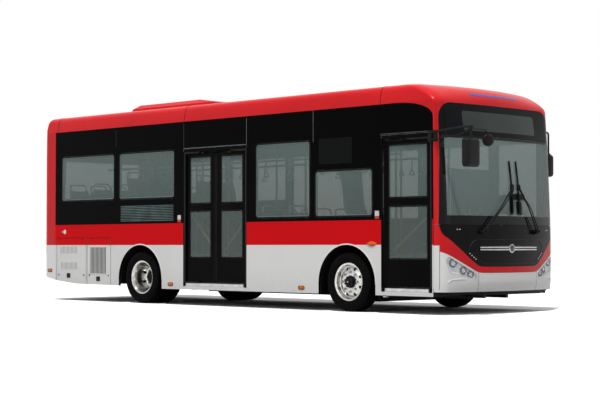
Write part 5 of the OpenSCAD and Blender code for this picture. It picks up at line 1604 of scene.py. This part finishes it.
left_parts = [block("bracket", (at(8.57), 1.2255, 2.43), (at(8.62), 1.2515, 2.54), 0.006, 3),
    rod("arm", [(at(8.59), 1.24, 2.5), (at(8.59), 1.33, 2.512), (at(8.59), 1.352, 2.49),
    (at(8.59), 1.352, 2.19)], 0.014, 0.04),
    block("clamp", (at(8.565), 1.328, 2.172), (at(8.615), 1.376, 2.215), 0.008, 3)]
fit(join("left_mirror_arm", left_parts), mirror_black)
fit(housing("left_mirror_head", 8.535, 8.64, 1.285, 1.42, 1.88, 2.2, 0.04), mirror_black,
    hides=("left_mirror",))
fit(mirror_pane("left_mirror_glass", 8.5349, 1.298, 1.407, 1.897, 2.183, 0.028), mirror_glass)

# the blue-glazed vent strip across the front of the dome
blue = surface("blue_sun_strip", "#3C3F94", "#33367F", 0.15, patch=0.4, relief=0.004, depth=0.03)
strip_rows = []
for i in range(5):
    z = lerp(2.906, 2.936, i / 4)
    strip_rows.append([nose(-round_at(0.53) * lerp(-1, 1, j / 30), z) + Vector((0.002, 0, 0.0008))
        for j in range(31)])
fit(panel("dome_vent_strip", strip_rows, 0.004), blue)

# Tail. Red glass-fibre cap with a bonded rear window in a black surround, a
# blank display, a pale bumper, and the engine flap with its cooling slots.


def on_back(y, z, d):
    """Places an outline (across, height) on the tail, whose window part leans forward."""
    lean = max(0.0, (z - 1.252) / (2.9 - 1.252)) * 0.104
    return (at(lean - d), y, z)


tail_paint = surface("tail_coach_paint_in_zones", "#CF181E", "#C3131A", 0.3, patch=1.8, relief=0.006,
    depth=0.02, spec=0.4, coat=0.3, coat_rough=0.12)
tree, shader, spot = parts_of(tail_paint)
red_part = shader.inputs["Base Color"].links[0].from_socket
place = add_node(tree, "SeparateXYZ", {"Vector": spot})
pale_part = blend_colour(tree, darker_low_down(tree, spot, 0.3, 0.9), pale_tone, "#8B8880")
zones = blend_colour(tree, above(tree, place.outputs["Z"], waist_z - 0.0005), pale_part, red_part)
# cooling slots of the engine flap: eight dark rows of painted shade, in two groups about the middle
rows = add_node(tree, "Math", {0: place.outputs["Z"], 1: 0.028}, operation="PINGPONG").outputs[0]
slot_shade = above(tree, rows, 0.02, 0.0008)
across_y = add_node(tree, "Math", {0: place.outputs["Y"]}, operation="ABSOLUTE").outputs[0]
for value, limit, keep_above in ((across_y, 0.12, True), (across_y, 0.7, False),
        (place.outputs["Z"], 0.95, True), (place.outputs["Z"], 1.16, False)):
    edge_share = above(tree, value, limit, 0.001)
    if not keep_above:
        edge_share = add_node(tree, "Math", {0: 1.0, 1: edge_share}, operation="SUBTRACT").outputs[0]
    slot_shade = add_node(tree, "Math", {0: slot_shade, 1: edge_share}, operation="MULTIPLY").outputs[0]
face_only = above(tree, place.outputs["X"], at(0.0008), 0.0003)
face_only = add_node(tree, "Math", {0: 1.0, 1: face_only}, operation="SUBTRACT").outputs[0]
slot_shade = add_node(tree, "Math", {0: slot_shade, 1: face_only}, operation="MULTIPLY").outputs[0]
tree.links.new(blend_colour(tree, slot_shade, zones, "#1A0405"), shader.inputs["Base Color"])
coat("engine_door", tail_paint)
coat("rear_cap", red_paint)
coat("rear_bumper", pale_paint)

back_win = rounded(-0.817, 1.703, 0.817, 2.357, 0.04)
surround = ring("rear_window_surround", rounded(-1.02, 1.56, 1.02, 2.7, 0.11), back_win, on_back,
    (-0.0005, 0.0014))
fit(surround, gloss_black)
fit(ring("rear_window_seal", rounded(-0.832, 1.688, 0.832, 2.372, 0.052),
    rounded(-0.806, 1.714, 0.806, 2.346, 0.032), on_back, (0.0012, 0.0065)), rubber)
blank = dome("rear_display", rounded(-0.46, 2.44, 0.46, 2.62, 0.015), (0, 2.53), on_back, 0.0005, 0.004)
fit(blank, dark_board, angle=20)
tail_red = surface("ribbed_red_tail_lens", "#B3141B", "#8E0D13", 0.1, patch=0.02, relief=0.006,
    depth=0.45, spec=0.5, coat=0.5)
coat("tail_lamps", tail_red)

# side marker on the bumper's flank, as along the skirt
for s, side in ((-1, "right"), (1, "left")):
    lens, seat = marker_lamp(0.216, 0.494, s)
    lens.name, seat.name = side + "_tail_marker", side + "_tail_marker_seat"
    fit(lens, amber, angle=60)
    fit(seat, rubber)

# Passenger seats. Grey moulded shells on cantilever frames, each with a thin
# sewn seat pad and back pad, and a round grab handle on the back's top.
shell_grey = surface("grey_moulded_polypropylene", "#6E7579", "#60676B", 0.5, patch=0.2, relief=0.0015,
    depth=0.12, spec=0.4)
moquette = surface("blue_grey_moquette", "#39495E", "#2C3A4C", 0.9, patch=0.04, relief=0.0012, depth=0.5,
    spec=0.2, sheen=0.3)
frame_grey = surface("grey_powder_coated_steel", "#55595C", "#4A4E51", 0.45, patch=0.1, relief=0.0015,
    depth=0.08)
# a shell's side view from the foot of the back to the front lip: x ahead of the bench line, z over its floor
back_side = through([(0.46, 0.07), (0.56, 0.052), (0.75, 0.03), (0.95, -0.02), (1.045, -0.052)])
shell_path = [(back_side(z), z) for z in spread(1.045, 0.47, 10)] + [(0.078, 0.43), (0.105, 0.398),
    (0.15, 0.38), (0.22, 0.373), (0.3, 0.374), (0.38, 0.382), (0.44, 0.388), (0.47, 0.38), (0.48, 0.355)]


def seat_spot(u, k, lift=0.0):
    """Point of a seat shell: u from -1 to 1 across, k along the path, lifted off it."""
    k = min(max(k, 0.0), len(shell_path) - 1.0)
    i = min(int(k), len(shell_path) - 2)
    a, b = Vector(shell_path[i]), Vector(shell_path[i + 1])
    x, z = a.lerp(b, k - i)
    along = (b - a).normalized()
    out = Vector((-along.y, along.x))
    if out.dot(Vector((0.6, 0.8))) < 0:
        out = -out
    narrow = 1.0 if k > 1.5 else 1.0 - 0.16 * ((1.5 - k) / 1.5) ** 2
    bolster = 0.028 * abs(u) ** 3.5
    return Vector((x + out.x * (bolster + lift), 0.205 * u * narrow, z + out.y * (bolster + lift)))


def seat_shell(name):
    rows = [[seat_spot(u, k) for u in spread(-1, 1, 12)] for k in range(len(shell_path))]
    piece = outward(sheet_of(name, rows), ((0.22, 0, 0.37), (0, 0, 1)))
    return walled(piece, 0.014)


def seat_pad(name, k0, k1, wide, thick, steps=12):
    """A crowned closed pad on a shell, its sides pulled in between the corners."""
    top, under = [], []
    for i in range(steps + 1):
        for j in range(steps + 1):
            a, b = -1 + 2 * i / steps, -1 + 2 * j / steps
            pull = 1 - 0.035 * (1 - a * a)
            k = lerp(k0, k1, (a * (1 - 0.03 * (1 - b * b)) + 1) / 2)
            crown = (1 - abs(a) ** 5) * (1 - abs(b) ** 5)
            channel = 0.004 * sum(math.exp(-((a - c) / 0.07) ** 2) for c in (-0.34, 0.34)) * (1
                - abs(b) ** 6)
            top.append(seat_spot(b * wide * pull, k, 0.004 + thick * crown ** 0.5 - channel))
            under.append(seat_spot(b * wide * pull, k, 0.001))
    m = steps + 1
    faces = grid_faces(steps, steps)
    low = [tuple(len(top) + v for v in reversed(f)) for f in faces]
    rim = list(range(m)) + [i * m + steps for i in range(1, m)] + [steps * m + j
        for j in range(steps - 1, -1, -1)] + [i * m for i in range(steps - 1, 0, -1)]
    sides = [(rim[i], rim[(i + 1) % len(rim)], len(top) + rim[(i + 1) % len(rim)], len(top) + rim[i])
        for i in range(len(rim))]
    return tidy_mesh(from_faces(name, top + under, faces + low + sides))


def seat_frame(name, x, y, z, count):
    """The cantilever frame under a bench: cross tubes, two legs and their feet."""
    half = count * 0.215 - 0.05
    parts = [rod("tube", [(x + dx, y - half, z + 0.335), (x + dx, y + half, z + 0.335)], 0.014)
        for dx in (0.16, 0.36)]
    for s in (-1, 1):
        leg_y = y + s * (half - 0.08)
        parts.append(rod("leg", [(x + 0.16, leg_y, z + 0.335), (x + 0.2, leg_y, z + 0.16),
            (x + 0.2, leg_y, z + 0.002)], 0.016, 0.05))
        parts.append(rod("brace", [(x + 0.36, leg_y, z + 0.335), (x + 0.22, leg_y, z + 0.2)], 0.012))
        parts.append(block("foot", (x + 0.14, leg_y - 0.04, z + 0.001),
            (x + 0.26, leg_y + 0.04, z + 0.009), 0.003, 1))
    return join(name, parts)


deck_z, low_z, box_z = 0.78, 0.335, 0.94
benches = [(0.56, 0.0, deck_z, 5)] + [(x, s * 0.7375, z, 2) for x, z in ((1.33, deck_z), (2.2, box_z))
    for s in (-1, 1)] + [(6.87, s * 0.9345, box_z, 1) for s in (-1, 1)] + [(5.35, -0.9525, low_z, 1),
    (5.91, -0.9525, low_z, 1)] + [(x, 0.7375, low_z, 2) for x in (4.25, 5.0, 5.75)]
shell_model, seat_model = seat_shell("shell"), seat_pad("seat_pad", 11.5, 16.4, 0.86, 0.03)
back_model = seat_pad("back_pad", 1.0, 8.6, 0.84, 0.026)
handle_model = rod("handle", [(-0.03, -0.165, 0.965), (-0.066, -0.165, 1.145), (-0.066, 0.165, 1.145),
    (-0.03, 0.165, 0.965)], 0.012, 0.075, 3)
shells, handles, frames = [], [], []
seat_number = 0
for x, y, z, count in benches:
    frames.append(seat_frame("frame", at(x), y, z, count))
    for i in range(count):
        seat_y = y + (i - (count - 1) / 2) * 0.43
        move = (at(x), seat_y, z)
        seat_number += 1
        shells.append(copy_of(shell_model, "shell", move))
        handles.append(copy_of(handle_model, "handle", move))
        for kind, model, fill in (("seat_pad", seat_model, 0.8), ("back_pad", back_model, 0.8)):
            pad = copy_of(model, "%s_%02d" % (kind, seat_number), move)
            fit(pad, moquette, angle=60)
discard(shell_model, seat_model, back_model, handle_model)
fit(join("seat_shells", shells), shell_grey, hides=("passenger_seats",), angle=50)
fit(join("seat_frames", frames), frame_grey)
handle_grey = surface("pale_grey_nylon_handle", "#C4CBC8", "#B4BBB8", 0.45)
fit(join("seat_handles", handles), handle_grey)

# Driver's place. A sprung seat with head restraint, a dashboard with hood and
# blank screen, the steering wheel, and a half-height screen behind the seat.


def cushion(name, centre, size, lean=0.0, crown=0.02, steps=14):
    """A thick crowned cushion with pulled-in sides; size is its half length, width, height."""
    deselect()
    bpy.ops.mesh.primitive_cube_add(size=2)
    piece = bpy.context.object
    piece.name = name
    bpy.ops.object.mode_set(mode="EDIT")
    bpy.ops.mesh.subdivide(number_cuts=steps)
    bpy.ops.object.mode_set(mode="OBJECT")
    for v in piece.data.vertices:
        a, b, c = v.co
        p = 6.0
        r = (abs(a) ** p + abs(b) ** p + abs(c) ** p) ** (1 / p)
        a, b, c = a / r, b / r, c / r
        pull_x, pull_y = 1 - 0.04 * (1 - b * b) * abs(a), 1 - 0.04 * (1 - a * a) * abs(b)
        up = c * size[2] + crown * max(c, 0) * (1 - a * a) * (1 - b * b)
        up -= 0.006 * max(c, 0) * sum(math.exp(-((b - g) / 0.06) ** 2) for g in (-0.45, 0.45)) * (1
            - a ** 6)
        v.co = (a * size[0] * pull_x, b * size[1] * pull_y, up)
    piece.data.transform(Matrix.Translation(centre) @ Matrix.Rotation(lean, 4, "Y"))
    return tidy_mesh(piece)


for name, centre, size, lean, fill in (("driver_cushion", (at(8.06), 0.63, 0.735), (0.255, 0.225, 0.045),
        0.0, 0.8), ("driver_backrest", (at(7.845), 0.63, 1.085), (0.285, 0.22, 0.042), math.pi / 2 - 0.1,
        0.8), ("driver_headrest", (at(7.79), 0.63, 1.425), (0.062, 0.13, 0.034), math.pi / 2 - 0.12,
        0.9)):
    fit(cushion(name, centre, size, lean), moquette, angle=60)
base_parts = [block("box", (at(7.92), 0.46, 0.337), (at(8.22), 0.8, 0.42), 0.012, 2),
    block("plate", (at(7.86), 0.42, 0.655), (at(8.28), 0.84, 0.688), 0.008, 2),
    rod("post", [(at(7.8), 0.55, 0.7), (at(7.765), 0.55, 1.4)], 0.012),
    rod("post", [(at(7.8), 0.71, 0.7), (at(7.765), 0.71, 1.4)], 0.012)]
for k in range(6):
    base_parts.append(block("fold", (at(7.95 - 0.012 * (k % 2)), 0.49 - 0.012 * (k % 2),
        0.42 + k * 0.039), (at(8.19 + 0.012 * (k % 2)), 0.77 + 0.012 * (k % 2), 0.462 + k * 0.039),
        0.008, 2))
fit(join("driver_seat_base", base_parts), post_black, hides=("driver_seat",))

dash_black = surface("soft_grained_dashboard_skin", "#26282A", "#1E2022", 0.6, patch=0.15, relief=0.0015,
    depth=0.25, spec=0.3)
partition_grey = surface("grey_laminated_partition", "#8C9192", "#82878A", 0.45, patch=0.4, depth=0.05)
coat("dashboard", dash_black)
coat("cab_partition", partition_grey)
coat("steering_wheel", mirror_black)
binnacle = [block("hood", (at(8.47), 0.4, 1.121), (at(8.64), 0.8, 1.205), 0.03, 4),
    block("pad", (at(8.46), 0.86, 1.121), (at(8.62), 1.06, 1.15), 0.012, 2)]
fit(join("instrument_hood", binnacle), dash_black)
fit(block("instrument_screen", (at(8.466), 0.44, 1.135), (at(8.471), 0.76, 1.19), 0.001, 1), dark_board)
fare = [block("fare_box", (at(8.735), 0.01, 1.335), (at(8.815), 0.37, 1.59), 0.01, 2),
    rod("stem", [(at(8.775), 0.19, 1.121), (at(8.775), 0.19, 1.34)], 0.022)]
fit(join("ticket_reader", fare), dash_black)

# Cabin. Flecked safety vinyl, yellow tubes, and moulded hand straps that hang
# from the rails under the ceiling.
vinyl = surface("flecked_safety_vinyl", "#5E6366", "#4C5154", 0.7, patch=0.004, relief=0.0015, depth=0.3)
coat("cabin_floor", vinyl)
coat("wheel_housings", chassis_black)
coat("grab_rails", rail_yellow)
nosing = [block("nosing", (at(3.395), -0.6, 0.7805), (at(3.4205), 0.6, 0.7835), 0.001, 1)]
for x0, x1 in ((3.7, 5.01), (7.76, 8.55)):
    nosing.append(block("nosing", (at(x0), -1.175, 0.3355), (at(x1), -1.145, 0.3385), 0.001, 1))
fit(join("step_nosings", nosing), rail_yellow)
straps = []
for s in (-1, 1):
    for x in (1.45, 2.05, 2.65, 3.62, 4.2, 4.75, 5.25, 5.95, 6.55, 6.75, 6.95, 7.15):
        y = s * 0.52
        straps.append(block("band", (at(x) - 0.012, y - 0.0015, 2.03), (at(x) + 0.012, y + 0.0015, 2.166),
            0.0008, 1))
        straps.append(block("clip", (at(x) - 0.016, y - 0.0215, 2.158),
            (at(x) + 0.016, y + 0.0215, 2.202), 0.006, 1))
        straps.append(rod("loop",
            [(at(x), y, 2.034), (at(x) - 0.055, y, 1.945), (at(x) + 0.055, y, 1.945), (at(x), y, 2.034)],
            0.0085, 0.02, 2))
fit(join("hand_straps", straps), surface("white_moulded_hand_strap", "#D8D8D4", "#C8C8C4", 0.45))

# Running gear. Lacquered steel frame and axles, cast hubs, rubber springs, the
# battery pack in its folded case and the drive motor.
pack_grey = surface("powder_coated_battery_case", "#4A4E50", "#3F4345", 0.5, patch=0.2, relief=0.0015,
    depth=0.08)
motor_alloy = surface("sand_cast_motor_housing", "#8A8D8F", "#77797B", 0.5, depth=0.3, metal=0.7)
for node in ("underframe", "front_axle", "rear_axle"):
    coat(node, chassis_black)
coat("battery_pack", pack_grey)
coat("drive_motor", motor_alloy)
coat("air_springs", rubber)
for node in ("left_knuckle", "right_knuckle", "tie_rod"):
    coat(node, cast_black)
fins = [block("fin", (at(1.74 + i * 0.045), -0.262, 0.36), (at(1.755 + i * 0.045), 0.262, 0.52), 0.002, 1)
    for i in range(11)]
fit(join("motor_fins", fins), motor_alloy)
folds = [block("rib", (at(0.7 + i * 0.13), -0.386, 0.4), (at(0.73 + i * 0.13), 0.386, 0.72), 0.004, 1)
    for i in range(5)]
fit(join("battery_case_ribs", folds), pack_grey)

for node, piece in nodes.items():
    if not piece.hide_render and not any(m for m in piece.data.materials):
        raise SystemExit("no finish on " + node)


def plain(value):
    """Vectors, tuples and boxes as plain lists of numbers."""
    return [plain(v) for v in value] if hasattr(value, "__len__") else round(float(value), 5)


{"before": plain(box_before), "after": plain(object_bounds())}
